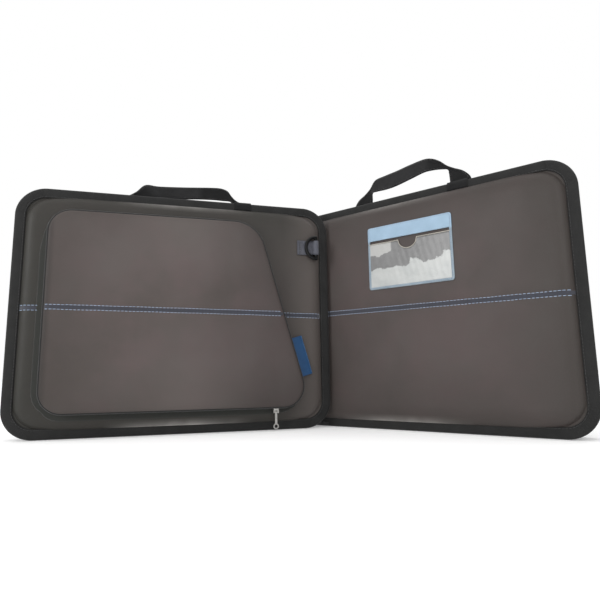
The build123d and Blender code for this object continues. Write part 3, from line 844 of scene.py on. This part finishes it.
def make_pocket_wall():
    """The gusset that carries the cover, with its dark foot spread as a painted shadow, and the zip round it
    except on its left side.
    """
    rows = stack(pocket_loop, GUSSET_SECTION)
    # Painted shadow: the gusset's dark foot lies spread over the tray on the left and below the pocket.
    inner, outer = pocket_loop(0.9), pocket_loop(-SHADOW_FLARE)
    loose = shadow_flare_share(inner)[:, None]
    for share, lift in FOOT_SECTION:
        loop = inner + (outer - inner) * share * loose
        level = np.minimum(tray_height(front, loop[:, 0], loop[:, 1]), 11.2)
        rows.append(lifted(loop, level + lift * (0.4 + 0.6 * loose[:, 0])))
    add("pocket_gusset_and_shadow", front, rows, gusset_and_shadow_mat, "wall_cloth", "pocket_wall", across=True)

    start = POCKET_LEFT + POCKET_RADII[0]
    rows = []
    for inset, w in ((1.2, 15.7), (0.35, 15.8), (0.15, 17.5), (0.3, 19.6), (1.2, 19.65)):
        loop = pocket_loop(inset, 40, 14)
        rows.append(lifted(loop[loop[:, 0] > start - 1], w))
    count = min(len(r) for r in rows)
    grid = front.place([r[:count] for r in rows])
    tape = surface("pocket_zip_tape", grid, tape_mat, around=False, across=True)
    belong(tape, front.body, "pocket_zip")

    def tooth(a, d):
        middle = (a[0] - d[1] * 0.1, a[1] + d[0] * 0.1, 19.0)
        return middle, (d[0] * 0.45, d[1] * 0.45, 0), (0, 0, 0.85), (d[1] * 0.4, -d[0] * 0.4, 0)

    run = pocket_loop(0.2, 60, 20)
    zip_coil("pocket_zip_coil", front, resample(run[run[:, 0] > start], 1.5, closed=False), tooth)


# ---- webbing
def webbing_section(thick, cup):
    """Round a strap's cross-section: from side to side (-1 to 1) and through its thickness."""
    section = []
    for face in (1, -1):
        for k in range(9):
            s = (-1 + k / 4) * face
            section.append((s, thick / 2 * face * (1 if abs(s) < 1 else 0.5) + cup * (s * s - 0.4)))
    return section


# each key is a point of the outer edge and one of the inner edge, in leaf millimetres
HANDLES = {
    "front": [
        (-77, 141.5, -7.8, -56, 138.6, -7.8), (-71, 145.0, -7.8, -52, 140.0, -7.8),
        (-64.8, 148.6, -7.6, -49, 142, -7.6), (-57.4, 153.6, -7.2, -45, 144, -7.2),
        (-50.5, 160.6, -6.6, -38, 145.2, -6.8), (-44, 162.8, -6.2, -28, 145.6, -6.4),
        (-31, 161.6, -5.6, -17, 146.2, -6.4), (-2, 163.0, -5.4, -1, 147.4, -6.6),
        (18, 164.6, -5.6, 18.4, 149, -6.8), (36, 166.0, -5.8, 38, 149.9, -7.0),
        (48, 166.2, -6.2, 50, 149.8, -7.4), (56.8, 163.8, -7.2, 60, 149.8, -8.0),
        (61.8, 158.2, -8.2, 63.0, 147.6, -8.4), (68.0, 152.2, -8.6, 63.6, 144.0, -8.4),
        (78.0, 147.4, -8.6, 64.0, 141.0, -8.2), (85.0, 144.0, -8.2, 64.4, 140.0, -8.0),
        (86.0, 141.5, -8.0, 66.0, 138.8, -8.0),
    ],
    "rear": [
        (-85, 141.5, -8.2, -66, 138.8, -8.0), (-86, 147.0, -8.6, -60, 143.0, -8.0),
        (-80, 155.5, -8.8, -57.8, 149.5, -7.8), (-70, 161.5, -8.8, -57.4, 156.5, -7.4),
        (-61, 168.0, -8.2, -56.6, 161.0, -7.0), (-52, 177.5, -7.0, -50.5, 161.4, -6.8),
        (-36, 180.0, -6.2, -36, 161.0, -6.8), (-19.6, 181.8, -5.8, -21, 162.2, -6.8),
        (0.7, 185.0, -5.6, 1, 166.6, -6.8), (19.4, 187.2, -5.8, 18.5, 170.4, -7.0),
        (30, 185.6, -6.2, 31, 170.4, -7.4), (40, 180.2, -6.8, 41.5, 169.0, -8.0),
        (48.6, 172.4, -7.6, 49.4, 166.8, -8.6), (57.3, 167.0, -8.4, 50.6, 162.0, -8.8),
        (68, 161.2, -8.8, 51.2, 156.0, -8.6), (75.4, 154.0, -8.8, 51.6, 149.0, -8.4),
        (78, 147.5, -8.4, 51.9, 143.0, -8.2), (77, 141.5, -8.2, 52.6, 139.2, -8.0),
    ],
}
WEB_THICK, WEB_CUP, WEB_PITCH = 1.9, 0.5, 0.0013
WEB_STITCH = 0.24
# the wrapped end: where it starts and ends along the leaf, and its height and w going round
FOOT_FOLD = {"front": (64.6, 86.5), "rear": (52.4, 77.8)}
FOLD_SECTION = [
    (144.9, -1.0), (146.0, 0.4), (146.2, 2.4), (145.2, 4.1), (141.0, 4.75), (137.0, 4.85), (134.9, 4.7),
]
FOLD_THICK = 0.9


def make_handle(leaf):
    """Flat webbing between its two edges, cupped a little across and sewn on both faces."""
    name = leaf.name + "_handle"
    path = smooth_path(HANDLES[leaf.name], 150)
    pts, half = (path[:, :3] + path[:, 3:]) / 2, (path[:, :3] - path[:, 3:]) / 2
    normal = unit(np.cross(np.gradient(pts, axis=0), half))
    length = run_length(pts)
    dark, light = (0.012, 0.012, 0.0125), (0.022, 0.022, 0.023)
    web = ribbed(leaf.name + "_webbing", dark, light, WEB_PITCH, 0.9, 0.66, float(length[-1]) * MM)
    rows = [pts + half * s + normal * lift for s, lift in webbing_section(WEB_THICK, WEB_CUP)]
    add(name + "_strap", leaf, rows, web, "webbing", name, body=name, **STRIP)
    spans = []
    for side in (-1, 1):
        for face in (-1, 1):
            for s in np.arange(10.0, length[-1] - 10.0, 4.0):
                ends = []
                for t in (s, s + 2.9):
                    p, h, n = (along_run(t, length, q) for q in (pts, half, normal))
                    ends.append(p + h * side * 0.8 + n * (face * WEB_THICK / 2 + WEB_STITCH / 2))
                spans.append((*ends, n * face))
    sew(name + "_stitches", leaf, spans, WEB_STITCH, dark_thread, name)


def make_foot_fold(leaf):
    """The strap's end, wrapped over the band and sewn on its face."""
    xs = np.linspace(*FOOT_FOLD[leaf.name], 34)

    def face(sunk):
        rows = []
        for y, w in FOLD_SECTION:
            down, back = (sunk, 0) if w < 3 else (0, sunk)
            uneven = 0.10 * ripple(xs, y, 71, 0.5)
            rows.append(np.column_stack([xs, np.full(len(xs), y - down), w + uneven - back]))
        return rows

    # Painted shade: the wrapped end is given much darker copies of the strap's colours.
    dark, light = (0.0035, 0.0035, 0.004), (0.006, 0.006, 0.0066)
    mat = ribbed(leaf.name + "_foot_webbing", dark, light, WEB_PITCH, 0.9, 0.75)
    rows = face(0) + face(FOLD_THICK)[::-1]
    add(leaf.name + "_handle_foot_fold", leaf, rows, mat, "webbing", **STRIP, turned=True)


FEET_MIDDLE = {"front": 4.0, "rear": -4.0}
FEET_HALF_SPAN = 68.5
FEET_W = -12.5
PATCH_TOP = 1.2
PATCH_SECTION = (
    (0.02, 0.05), (0.9, 0.05), (1.0, 0.12), (1.0, 0.75), (0.96, 1.05), (0.86, PATCH_TOP), (0.6, 1.15),
    (0.3, PATCH_TOP), (0.02, PATCH_TOP),
)


def patch_outline(half_x, half_y, radius):
    corners = [(-half_x, -half_y), (half_x, -half_y), (half_x, half_y), (-half_x, half_y)]
    return polygon_loop(corners, [radius] * 4, 0, 8, 4)


def make_feet(leaf):
    """Cloth patches that hold the handle's ends on the top wall."""
    top = leaf.height / 2 - 8.0
    for index, side in enumerate((-1, 1)):
        cx = FEET_MIDDLE[leaf.name] + side * FEET_HALF_SPAN

        def on_wall(loop, lift):
            height = np.broadcast_to(top + lift, len(loop))
            return np.column_stack([cx + loop[:, 0], height, FEET_W - loop[:, 1]])

        rows = []
        for share, lift in PATCH_SECTION:
            loop = patch_outline(9.5, 11, 2.5) * share
            uneven = 0.08 * np.sin(loop[:, 0] * 1.7 + index) * (1 if lift > 0.9 else 0)
            rows.append(on_wall(loop, lift + uneven))
        node = None if index else leaf.name + "_handle_feet"
        add(f"{leaf.name}_handle_patch_{index}", leaf, rows, patch_mat, "webbing", node, **CAPPED)
        line = on_wall(resample(patch_outline(8, 9.5, 2), 2.6), PATCH_TOP)
        spans = [(a, b, (0, 1, 0)) for a, b in dashes(line, 0.7)]
        sew(f"{leaf.name}_patch_stitches_{index}", leaf, spans, WEB_STITCH, dark_thread)


# ---- side walls and the case zip
WALL_STEPS = 220
CHAIN_DEPTH = 2.4


def three_sides(leaf, inset, spine_side, step):
    """The leaf's outline without its spine side, as one open line."""
    loop = leaf.loop(inset, 80, 24)
    keep = loop[:, 0] * spine_side <= leaf.width / 2 - 40.0
    first = np.argmax(keep & ~np.roll(keep, 1))
    return resample(np.roll(loop, -first, 0)[: keep.sum()], step, closed=False)


def wall_line(leaf, inset, spine_side):
    """The same three sides in a fixed number of steps, so that runs at two insets match."""
    line = three_sides(leaf, inset, spine_side, 4.0)
    return resample(line, run_length(line)[-1] / WALL_STEPS, closed=False)[: WALL_STEPS + 1]


def make_walls(leaf, spine_side):
    back = leaf.span(leaf.name + "_side_wall")[0][2]
    section = [
        (8.0, -1.5), (7.75, back * 0.2), (7.55, back * 0.45), (7.6, back * 0.7), (7.9, back * 0.92),
        (8.0, back), (9.5, back), (9.3, back * 0.7), (9.2, back * 0.4), (9.5, -1.5),
    ]
    rows = []
    for inset, w in section:
        line = wall_line(leaf, inset, spine_side)
        loose = math.sin(math.pi * min(1, max(0, (w + 1.5) / back)))
        sway = 0.25 * ripple(line[:, 0], line[:, 1] + w, 41, 0.6) * loose
        rows.append(lifted(line + unit(line) * sway[:, None], w))
    add(leaf.name + "_gusset_wall", leaf, rows, wall_mat, "wall_cloth", leaf.name + "_side_wall", **STRIP)

    chain = back - CHAIN_DEPTH
    section = ((10.6, back), (6.9, back - 0.05), (6.8, back - 0.9), (7.2, chain + 0.3), (10.4, chain + 0.3))
    rows = stack(lambda inset: wall_line(leaf, inset, spine_side), section)
    add(leaf.name + "_zip_tape", leaf, rows, tape_mat, "zip_teeth", leaf.name + "_zip_chain", **STRIP)

    def tooth(a, d):
        middle = (a[0], a[1], chain + 0.35)
        return middle, (d[0] * 0.62, d[1] * 0.62, 0), (-d[1] * 1.3, d[0] * 1.3, 0), (0, 0, -0.35)

    zip_coil(leaf.name + "_zip_coil", leaf, three_sides(leaf, 8.4, spine_side, 2.0), tooth)


# ---- lining
LINING_INSET = 22.1
LINING_SECTION = ((22.3, 8.45), (22.05, 8.1), (LINING_INSET, 7.65), (22.8, 7.5), (24.0, 7.5))


def make_lining(leaf):
    name = leaf.name + "_lining_cloth"
    mat = plain_cloth(name, (0.060, 0.060, 0.064), (0.085, 0.085, 0.090), 0.0016, 0.9, leaf, 0.5)
    rows = stack(leaf.loop, LINING_SECTION)
    edge = leaf.loop(LINING_SECTION[-1][0])
    rows += drawn_in(edge, np.linspace(0.96, 0.03, 20), lambda x, y: 7.62 + 0.12 * ripple(x, y, 51))
    lining = surface(leaf.name + "_tray_lining", leaf.place(rows), mat, caps=(False, True), turned=True)
    belong(lining, leaf.body, leaf.name + "_lining")


# ---- spine
HALF_STRIP = 0.040
STRIP_HALF_THICK = 0.0007


def make_spine():
    """The gusset's cloth: a soft fold between the two leaf edges."""
    a, b = (Vector(joints[name + "_leaf_fold"]["pos_m"]).to_2d() for name in ("front", "rear"))
    lo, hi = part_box("spine_cloth")
    chord = b - a
    inward = Vector((-chord.y, chord.x)).normalized()
    fold = (a + b) / 2 + inward * math.sqrt(HALF_STRIP**2 - (chord.length / 2) ** 2)
    ends = [a + (fold - a) * 0.14, fold, b + (fold - b) * 0.175]
    line = []
    for p, q in zip(ends, ends[1:]):
        line += [p + (q - p) * float(t) for t in np.linspace(0, 1, 16)[:-1]]
    line = np.array([(p.x, p.y) for p in line + [ends[2]]])
    for _ in range(3):
        line[1:-1] = (line[:-2] + 2 * line[1:-1] + line[2:]) / 4
    tangent = np.gradient(line, axis=0)
    normal = unit(np.stack([-tangent[:, 1], tangent[:, 0]], 1))
    rows = []
    for z in np.linspace(lo.z, hi.z, 60):
        soft = 0.0004 * math.sin(z * 210) + 0.0003 * math.sin(z * 97 + 1)
        outside = line + normal * (STRIP_HALF_THICK + soft * 0.5)
        inside = (line - normal * (STRIP_HALF_THICK - soft * 0.5))[::-1]
        rows.append(lifted(np.vstack([outside, inside]), z))
    gusset = surface("spine_gusset", rows, wall_mat, caps=(True, True))
    belong(gusset, "spine", "spine_cloth")


# each key: a point from the leaf's lower left corner and a twist in degrees
ZIP_END = [(6.0, 5.6, 3.6, 0), (42.0, 3.4, 5.0, 4), (53.0, 2.9, 5.3, 6), (62.0, 3.0, 5.2, 4)]
ZIP_END_WIDTH = 4.4


def make_zip_end():
    """The stiff end of the rear zip half's tape, lying over the band at the lower spine corner."""
    corner = np.array((rear.width / 2, rear.height / 2, 0, 0))
    path = smooth_path(np.array(ZIP_END) - corner, 60)
    pts, twist = path[:, :3], np.radians(path[:, 3:])
    tangent = unit(np.gradient(pts, axis=0))
    flat = unit(np.stack([-tangent[:, 1], tangent[:, 0], np.zeros(len(pts))], 1))
    across = np.cos(twist) * flat + np.sin(twist) * np.cross(tangent, flat)
    normal = np.cross(tangent, across)
    rows = [pts + across * (s * ZIP_END_WIDTH / 2) + normal * lift for s, lift in webbing_section(1.3, 0.15)]
    add("lower_zip_end", rear, rows, patch_mat, "zip_teeth", **STRIP)


# ---- card window
CARD_LOW, CARD_HIGH = rear.span("card_frame")
(CARD_X0, CARD_Y0), (CARD_X1, CARD_Y1) = CARD_LOW[:2], CARD_HIGH[:2]
HEADER = 18.0
HEADER_LOW = CARD_Y1 - HEADER
FILM_EDGE = 1.6
FILM_THICK = 0.35
NOTCH_X, NOTCH_RADIUS = CARD_X0 + 56.0, 12.5
TRIM_SECTION = (
    (0.15, 11.1), (-0.1, 11.5), (0.1, 12.15), (0.7, 12.45), (2.2, 12.5), (3.0, 12.3), (3.1, 11.9),
    (3.0, 11.1),
)


def card_trim():
    """Blue woven trim, greyer below the header."""
    m = Material("window_trim", Roughness=0.5, Specular_IOR_Level=0.45, Sheen_Weight=0.2)
    place = m.place(rear)
    x, y, _ = m.split(place)
    weave = m.weave(x, y, 0.0007)
    cloud = m.noise(place, 60.0, 3.0)
    blue = m.mottle(cloud, (0.265, 0.385, 0.500), (0.310, 0.440, 0.570))
    vinyl = m.mottle(cloud, (0.20, 0.26, 0.31), (0.28, 0.34, 0.38))
    base = m.mix(m.spread(y, (HEADER_LOW - 2) * MM, (HEADER_LOW + 1) * MM), vinyl, blue)
    m.colour(m.mix(m.spread(weave, -0.5, 0.9, 0.12, 0.0), base, (0.08, 0.13, 0.20)))
    return m.normal(m.bump(weave, 0.2, 0.0001))


def card_film():
    """Clear film whose colour has pale and dark patches painted in: painted reflections."""
    m = Material("window_film", Specular_IOR_Level=0.35, Coat_Weight=0.12, Coat_Roughness=0.2)
    place = m.place(rear)
    x, y, _ = m.split(place)
    sway = m.noise(place, 34.0, 4.0, 0.6)
    line_y = m.plus(y, m.times(m.minus(sway, 0.5), 0.040))
    tilt = m.plus(line_y, m.times(x, -0.08))
    lower = m.spread(tilt, (CARD_Y0 + 26.5) * MM, (CARD_Y0 + 27.6) * MM, 1.0, 0.0)
    corner = m.minus(line_y, m.times(x, 0.42))
    start = HEADER_LOW - 17 - 0.42 * (CARD_X0 + 14)
    upper = m.spread(corner, start * MM, (start + 1) * MM)
    upper = m.times(upper, m.spread(x, (CARD_X0 + 32) * MM, (CARD_X0 + 34) * MM, 1.0, 0.0))
    # Painted reflections: a pale lower patch and a pale upper-left corner over a mid grey.
    mid = m.mottle(sway, (0.150, 0.150, 0.150), (0.188, 0.188, 0.188), 0.35, 0.65)
    low = m.mottle(m.noise(place, 60.0, 3.0), (0.385, 0.40, 0.395), (0.455, 0.465, 0.455))
    m.colour(m.mix(upper, m.mix(lower, mid, low), (0.40, 0.40, 0.39)))
    m.rough(sway, 0.26, 0.36)
    return m.normal(m.bump(m.noise(place, 48.0, 3.0, 0.55), 0.12, 0.0016))


def make_card_window():
    leaf = rear
    trim_mat = card_trim()
    corners = [(CARD_X0, CARD_Y0), (CARD_X1, CARD_Y0), (CARD_X1, CARD_Y1), (CARD_X0, CARD_Y1)]
    rows = []
    for inset, w in TRIM_SECTION:
        loop = polygon_loop(corners, [3.2] * 4, inset, 30, 6)
        rows.append(lifted(loop, w + 0.05 * ripple(loop[:, 0], loop[:, 1], 61, 0.2)))
    add("window_edging", leaf, rows, trim_mat, "blue_trim", "card_frame", across=True)
    line = lifted(resample(polygon_loop(corners, [3.0] * 4, 1.6, 30, 6), 2.5), 12.5)
    sew("window_stitches", leaf, dashes(line, 0.68), 0.34, blue_thread)

    x0, x1, y1 = CARD_X0 + 1.2, CARD_X1 - 1.2, CARD_Y1 - 1.2
    band = [(x0, HEADER_LOW), (x1, HEADER_LOW), (x1, y1), (x0, y1)]

    def rim(inset):
        return polygon_loop(band, [1.0] * 4, inset, 20, 4)

    rows = stack(rim, ((0.6, 11.85), (0.0, 11.95), (0.0, 12.4), (0.5, 12.75)))
    shares = (0.97, 0.9, 0.75, 0.5, 0.25, 0.03)
    rows += drawn_in(rim(0.5), shares, lambda x, y: 12.86 + 0.08 * ripple(x, y, 62, 0.4), np.mean(band, 0))
    add("window_header", leaf, rows, trim_mat, "blue_trim", "card_header", **CAPPED)

    film_mat = card_film()
    xs = np.linspace(CARD_X0 + FILM_EDGE, CARD_X1 - FILM_EDGE, 90)
    for end in (NOTCH_X - NOTCH_RADIUS, NOTCH_X + NOTCH_RADIUS):
        xs = np.sort(np.append(xs, [end - 0.01, end + 0.01]))
    dip = np.sqrt(np.clip(NOTCH_RADIUS**2 - (xs - NOTCH_X) ** 2, 0, None))
    top_line = HEADER_LOW - 4.0 - dip * 0.92
    low_line = CARD_Y0 + FILM_EDGE
    rows = []
    for share in np.linspace(0, 1, 26):
        ys = low_line + (top_line - low_line) * share
        rows.append(np.stack([xs, ys, 12.05 + 0.16 * ripple(xs, ys, 63, 0.22)], 1))
    back = [row - (0, 0, FILM_THICK) for row in rows[::-1]]
    add("window_film", leaf, rows + back, film_mat, "clear_film", "card_film", **STRIP, turned=True)

    cream = plain_cloth("notch_tape", (0.42, 0.39, 0.33), (0.55, 0.52, 0.46), 0.0006, 0.6)
    rim_line = lifted(np.stack([xs, top_line], 1), 12.25)
    tangent = unit(np.gradient(rim_line, axis=0))
    up = np.stack([-tangent[:, 1], tangent[:, 0], np.zeros(len(xs))], 1)
    rows = []
    for a in np.linspace(0, 2 * math.pi, 9)[:-1]:
        rows.append(rim_line + up * 0.55 * math.cos(a) + np.array([0, 0, 0.38]) * math.sin(a))
    add("window_film_edge", leaf, rows, cream, "clear_film", **STRIP)


# ---- tab, tag
TAB_THICK = (
    (-1, 0.25), (-0.96, 0.55), (-0.6, 0.63), (-0.2, 0.6), (0.2, 0.63), (0.6, 0.6), (0.96, 0.55), (1, 0.25),
)


def make_tab():
    """Webbing sewn flat on the tray, taken round the ring's bar and back over itself."""
    leaf = front
    low, high = leaf.span("d_ring_tab")
    bar = leaf.local(joints["d_ring_swing"]["pos_m"])
    turn = (high[2] - bar[2]) - 0.72
    flat = low[2] + 0.68
    keys = [(low[0], flat), (low[0] + 8, flat), (bar[0] - 4.0, flat)]
    for a in np.radians(np.linspace(-90, 150, 17)):
        keys.append((bar[0] + turn * math.cos(a), bar[2] + turn * math.sin(a)))
    keys += [(bar[0] - 4.9, flat + 1.75), (bar[0] - 7.5, flat + 1.42), (low[0] + 10, flat + 1.4)]
    keys.append((low[0], flat + 1.4))
    line = resample(np.array(keys), 0.8, closed=False)
    tangent = unit(np.gradient(line, axis=0))
    normal = np.stack([-tangent[:, 1], tangent[:, 0]], 1)
    middle, half = (low[1] + high[1]) / 2, (high[1] - low[1]) / 2
    rows = []
    for share, thick in TAB_THICK:
        ring = np.vstack([line + normal * thick, (line - normal * thick)[::-1]])
        rows.append(np.insert(ring, 1, middle + share * half, axis=1))
    add("d_ring_webbing", leaf, rows, tab_mat, "grey_webbing", "d_ring_tab", **CAPPED)
    spans = []
    for dx in (2.2, 4.4):
        for y in np.arange(low[1] + 1.2, high[1] - 2.0, 2.5):
            spans.append([(low[0] + dx, y, flat + 2.05), (low[0] + dx, y + 1.9, flat + 2.05)])
    sew("d_ring_stitches", leaf, spans, 0.3, dark_thread)


TAG_FROM_CORNER, TAG_WIDTH, TAG_LENGTH = 39.0, 15.5, 50
TAG_HIDDEN = 1.2
TAG_TOP, TAG_DROOP = 15.4, 1.7


def tag_wave(along):
    return np.sin(along / TAG_LENGTH * math.pi * 1.5)


def make_tag():
    """Blank ribbon, folded and sewn under the pocket's slanted side."""
    leaf = front
    corner = np.array(POCKET[1])
    slant = unit(np.array(POCKET[2]) - corner)
    out = np.array([slant[1], -slant[0]])
    foot = corner + slant * TAG_FROM_CORNER
    m = Material("tag_ribbon", Specular_IOR_Level=0.3, Sheen_Weight=0.1, Sheen_Roughness=0.3)
    u, v, _ = m.split(m.uv())
    satin = m.weave(u, v, 0.0006)
    cloud = m.noise(m.uv(), 90.0, 3.0)
    base = m.mottle(cloud, (0.006, 0.040, 0.115), (0.010, 0.058, 0.155))
    m.colour(m.mix(m.spread(satin, -0.6, 1.0, 0.0, 0.2), base, (0.05, 0.14, 0.28)))
    m.rough(cloud, 0.36, 0.5)
    mat = m.normal(m.bump(satin, 0.3, 0.0001))
    upper, under = [], []
    for reach in np.linspace(-TAG_HIDDEN, TAG_WIDTH, 12):
        share = (reach + TAG_HIDDEN) / (TAG_WIDTH + TAG_HIDDEN)
        along = np.linspace(0, TAG_LENGTH, 26)
        droop = TAG_TOP - TAG_DROOP * share**1.6 + 0.35 * tag_wave(along) * share
        xy = foot + slant * along[:, None] + out * reach
        upper.append(lifted(xy, droop + 0.55))
        under.append(lifted(xy, droop - 0.35))
    add("blank_ribbon_tag", leaf, upper + under[::-1], mat, "blue_ribbon", "ribbon_tag", **STRIP)
    edge = thread("tag_edge", (0.05, 0.16, 0.34), (0.11, 0.26, 0.48))
    spans = []
    for s in np.arange(1.5, 48.0, 1.6):
        ends = []
        for t in (s, s + 1.2):
            xy = foot + slant * t + out * (TAG_WIDTH - 0.6)
            ends.append((*xy, TAG_TOP - TAG_DROOP * 0.94 + 0.33 * tag_wave(t) + 0.5))
        spans.append(ends)
    sew("tag_stitches", leaf, spans, 0.22, edge)


# ---- CAD nodes that stay
PANEL_HEIGHT, PANEL_EDGES = 238, 24
CELL_ROWS, CELL_GAP = 4, 2.4
CELL_PITCH = (PANEL_HEIGHT - PANEL_EDGES + CELL_GAP) / CELL_ROWS * MM


def dress(node, material):
    mesh = frame["nodes"][node].data
    mesh.materials.clear()
    mesh.materials.append(material)


def panel_materials(leaf):
    m = Material(leaf.name + "_anodised_frame", Metallic=1.0)
    drawn = m.node("Mapping", {"Vector": m.place(leaf), "Scale": (30.0, 30.0, 1400.0)}).outputs[0]
    grain = m.noise(drawn, 1.0, 3.0)
    m.colour(m.mix(grain, (0.62, 0.63, 0.65), (0.74, 0.75, 0.77)))
    m.rough(grain, 0.30, 0.42)
    dress(leaf.name + "_panel_frame", m.normal(m.bump(grain, 0.1, 0.0001)))

    clear = {"Specular_IOR_Level": 0.5, "Transmission_Weight": 1.0, "IOR": 1.45}
    m = Material(leaf.name + "_panel_glass", Roughness=0.04, **clear)
    place = m.place(leaf)
    m.colour(m.mix(m.noise(place, 8.0), (0.93, 0.965, 0.955), (0.97, 0.985, 0.98)))
    dress(leaf.name + "_panel_glass", m.normal(m.bump(m.noise(place, 260.0), 0.05, 0.0002)))

    m = Material(leaf.name + "_solar_cells", Roughness=0.3, Specular_IOR_Level=0.6, Coat_Weight=0.4)
    place = m.place(leaf)
    x, y, _ = m.split(place)
    lines = m.spread(m.wave(x, 0.0022), 0.90, 0.97, 0.0, 0.55)
    for shift in (0.25, 0.75):
        t = m.math("FRACT", m.plus(m.math("DIVIDE", y, CELL_PITCH), CELL_ROWS / 2 + shift))
        lines = m.larger(lines, m.spread(m.size(m.minus(t, 0.5)), 0.012, 0.016, 1.0, 0.0))
    grain = m.split(m.node("TexVoronoi", {"Vector": place, "Scale": 140.0}).outputs["Color"])[0]
    tint = m.mottle(grain, (0.006, 0.010, 0.040), (0.012, 0.022, 0.075), 0.0, 1.0)
    m.colour(m.mix(lines, tint, (0.50, 0.52, 0.55)))
    m.roughness(m.spread(grain, 0.0, 1.0, 0.26, 0.36))
    dress(leaf.name + "_panel_cells", m.normal(m.bump(lines, 0.2, 0.0001)))

    m = Material(leaf.name + "_backsheet", Specular_IOR_Level=0.4)
    place = m.place(leaf)
    cloud = m.noise(place, 30.0, 3.0)
    m.colour(m.mix(cloud, (0.76, 0.77, 0.78), (0.84, 0.85, 0.86)))
    m.rough(cloud, 0.45, 0.55)
    dress(leaf.name + "_panel_backsheet", m.normal(m.bump(m.noise(place, 700.0), 0.15, 0.0001)))
    dress(leaf.name + "_panel_pads", patch_mat)
    dress(leaf.name + "_junction_box", box_mat)
    dress(leaf.name + "_cable_gland", box_mat)


box_mat = plastic("junction_plastic", (0.018, 0.018, 0.019), 0.5)
zinc = metal("bright_zinc", (0.46, 0.45, 0.43), 0.26)
black = enamel("black_enamel", (0.002, 0.002, 0.0022), (0.010, 0.010, 0.011))
for name in ("pocket_slider", "pocket_pull"):
    dress(name, zinc)
for name in ("lower_zip_slider", "lower_zip_pull", "upper_zip_slider", "upper_zip_pull", "d_ring"):
    dress(name, black)

for leaf, spine_side in ((front, 1), (rear, -1)):
    make_tray(leaf)
    make_binding(leaf)
    make_handle(leaf)
    make_foot_fold(leaf)
    make_feet(leaf)
    make_walls(leaf, spine_side)
    make_lining(leaf)
    panel_materials(leaf)
make_cover()
make_pocket_wall()
make_spine()
make_zip_end()
make_card_window()
make_tab()
make_tag()

band_in = front.width / 2 - BAND_WIDTH
slant_x = slanted_edge(seam_level(front, 120.0))
on_front, on_rear = (lambda x, y, leaf=leaf: tray_height(leaf, x, y) for leaf in (front, rear))
channel("front_seam_left", front, -band_in, POCKET_LEFT - 1.0, on_front)
channel("front_seam_right", front, slant_x + 0.6, band_in, on_front)
channel("pocket_seam", front, POCKET_LEFT + 2.6, slant_x - 2.6, cover_height, "pocket_cover")
channel("rear_seam", rear, -band_in, band_in, on_rear)


# ---- stage, light and camera
SKY_LOW, SKY_HIGH = 0.0, 1.27
SKY_RISE = 0.8
WHITE = (1, 1, 1, 1)
FLOOR_HALF = 14.0
FLOOR_GLOW = 0.2
FLOOR_BELOW = 0.0004


def make_stage():
    """A pale floor, and a sky that brightens upward and is plain white to the camera."""
    floor = Material("pale_floor", Roughness=0.9, Specular_IOR_Level=0.1)
    floor.colour(floor.mix(floor.noise(floor.place(), 3.0), (0.90, 0.90, 0.90), (0.93, 0.93, 0.93)))
    floor.feed(floor.shader.inputs["Emission Color"], WHITE)
    floor.feed(floor.shader.inputs["Emission Strength"], FLOOR_GLOW)
    corners = [(x * FLOOR_HALF, y * FLOOR_HALF, 0) for x, y in ((-1, -1), (1, -1), (1, 1), (-1, 1))]
    plane = new_object("floor", corners, [[0, 1, 2, 3]], floor.material, smooth=False)
    plane.location.z = -FLOOR_BELOW
    world = bpy.data.worlds.new("studio")
    world.use_nodes = True
    sky = Nodes(world.node_tree)
    background = sky.tree.nodes["Background"]
    sky.feed(background.inputs["Color"], WHITE)
    upward = sky.split(sky.node("TexCoord").outputs["Generated"])[2]
    glow = sky.spread(upward, 0.0, SKY_RISE, SKY_LOW, SKY_HIGH)
    seen = sky.node("LightPath").outputs["Is Camera Ray"]
    sky.feed(background.inputs["Strength"], sky.spread(seen, 0.0, 1.0, glow, 1.0))
    bpy.context.scene.world = world


def area_light(name, place, target, size, power):
    data = bpy.data.lights.new(name, "AREA")
    data.shape = "RECTANGLE"
    data.size, data.size_y = size
    data.energy = power
    lamp = bpy.data.objects.new(name, data)
    bpy.context.scene.collection.objects.link(lamp)
    lamp.location = place
    lamp.rotation_euler = (Vector(target) - Vector(place)).to_track_quat("-Z", "Y").to_euler()


make_stage()
area_light("front", (0.0, -1.4, 0.6), (0, 0, 0.17), (0.5, 0.4), 3.5)
area_light("near", (-0.15, -0.62, 0.42), (-0.02, 0, 0.17), (0.25, 0.15), 0.42)
area_light("side", (-1.3, -0.5, 0.5), (0, 0, 0.15), (0.5, 0.5), 7.0)

SENSOR = 36
FOCAL_SHARE = 0.895
CAMERA_HEIGHT = 0.067
CAMERA_FROM_HINGE = (-0.2453, -0.6715)
camera_data = bpy.data.cameras.new("camera")
camera = bpy.data.objects.new("camera", camera_data)
bpy.context.scene.collection.objects.link(camera)
bpy.context.scene.camera = camera
camera_data.lens = FOCAL_SHARE * SENSOR
camera_data.sensor_width = SENSOR
camera_data.shift_y = -0.025
heading, pitch, roll = math.radians(17.1), math.radians(9.5), math.radians(0.86)
level_right = Vector((math.cos(heading), -math.sin(heading), 0))
forward = Vector((math.sin(heading) * math.cos(pitch), math.cos(heading) * math.cos(pitch), math.sin(pitch)))
level_up = level_right.cross(forward)
right = level_right * math.cos(roll) - level_up * math.sin(roll)
above = level_up * math.cos(roll) + level_right * math.sin(roll)
pose = Matrix((right, above, -forward)).transposed().to_4x4()
hinge = Vector(joints["front_leaf_fold"]["pos_m"])
pose.translation = (hinge.x + CAMERA_FROM_HINGE[0], hinge.y + CAMERA_FROM_HINGE[1], CAMERA_HEIGHT)
camera.matrix_world = pose
bpy.context.scene.view_settings.view_transform = "Standard"
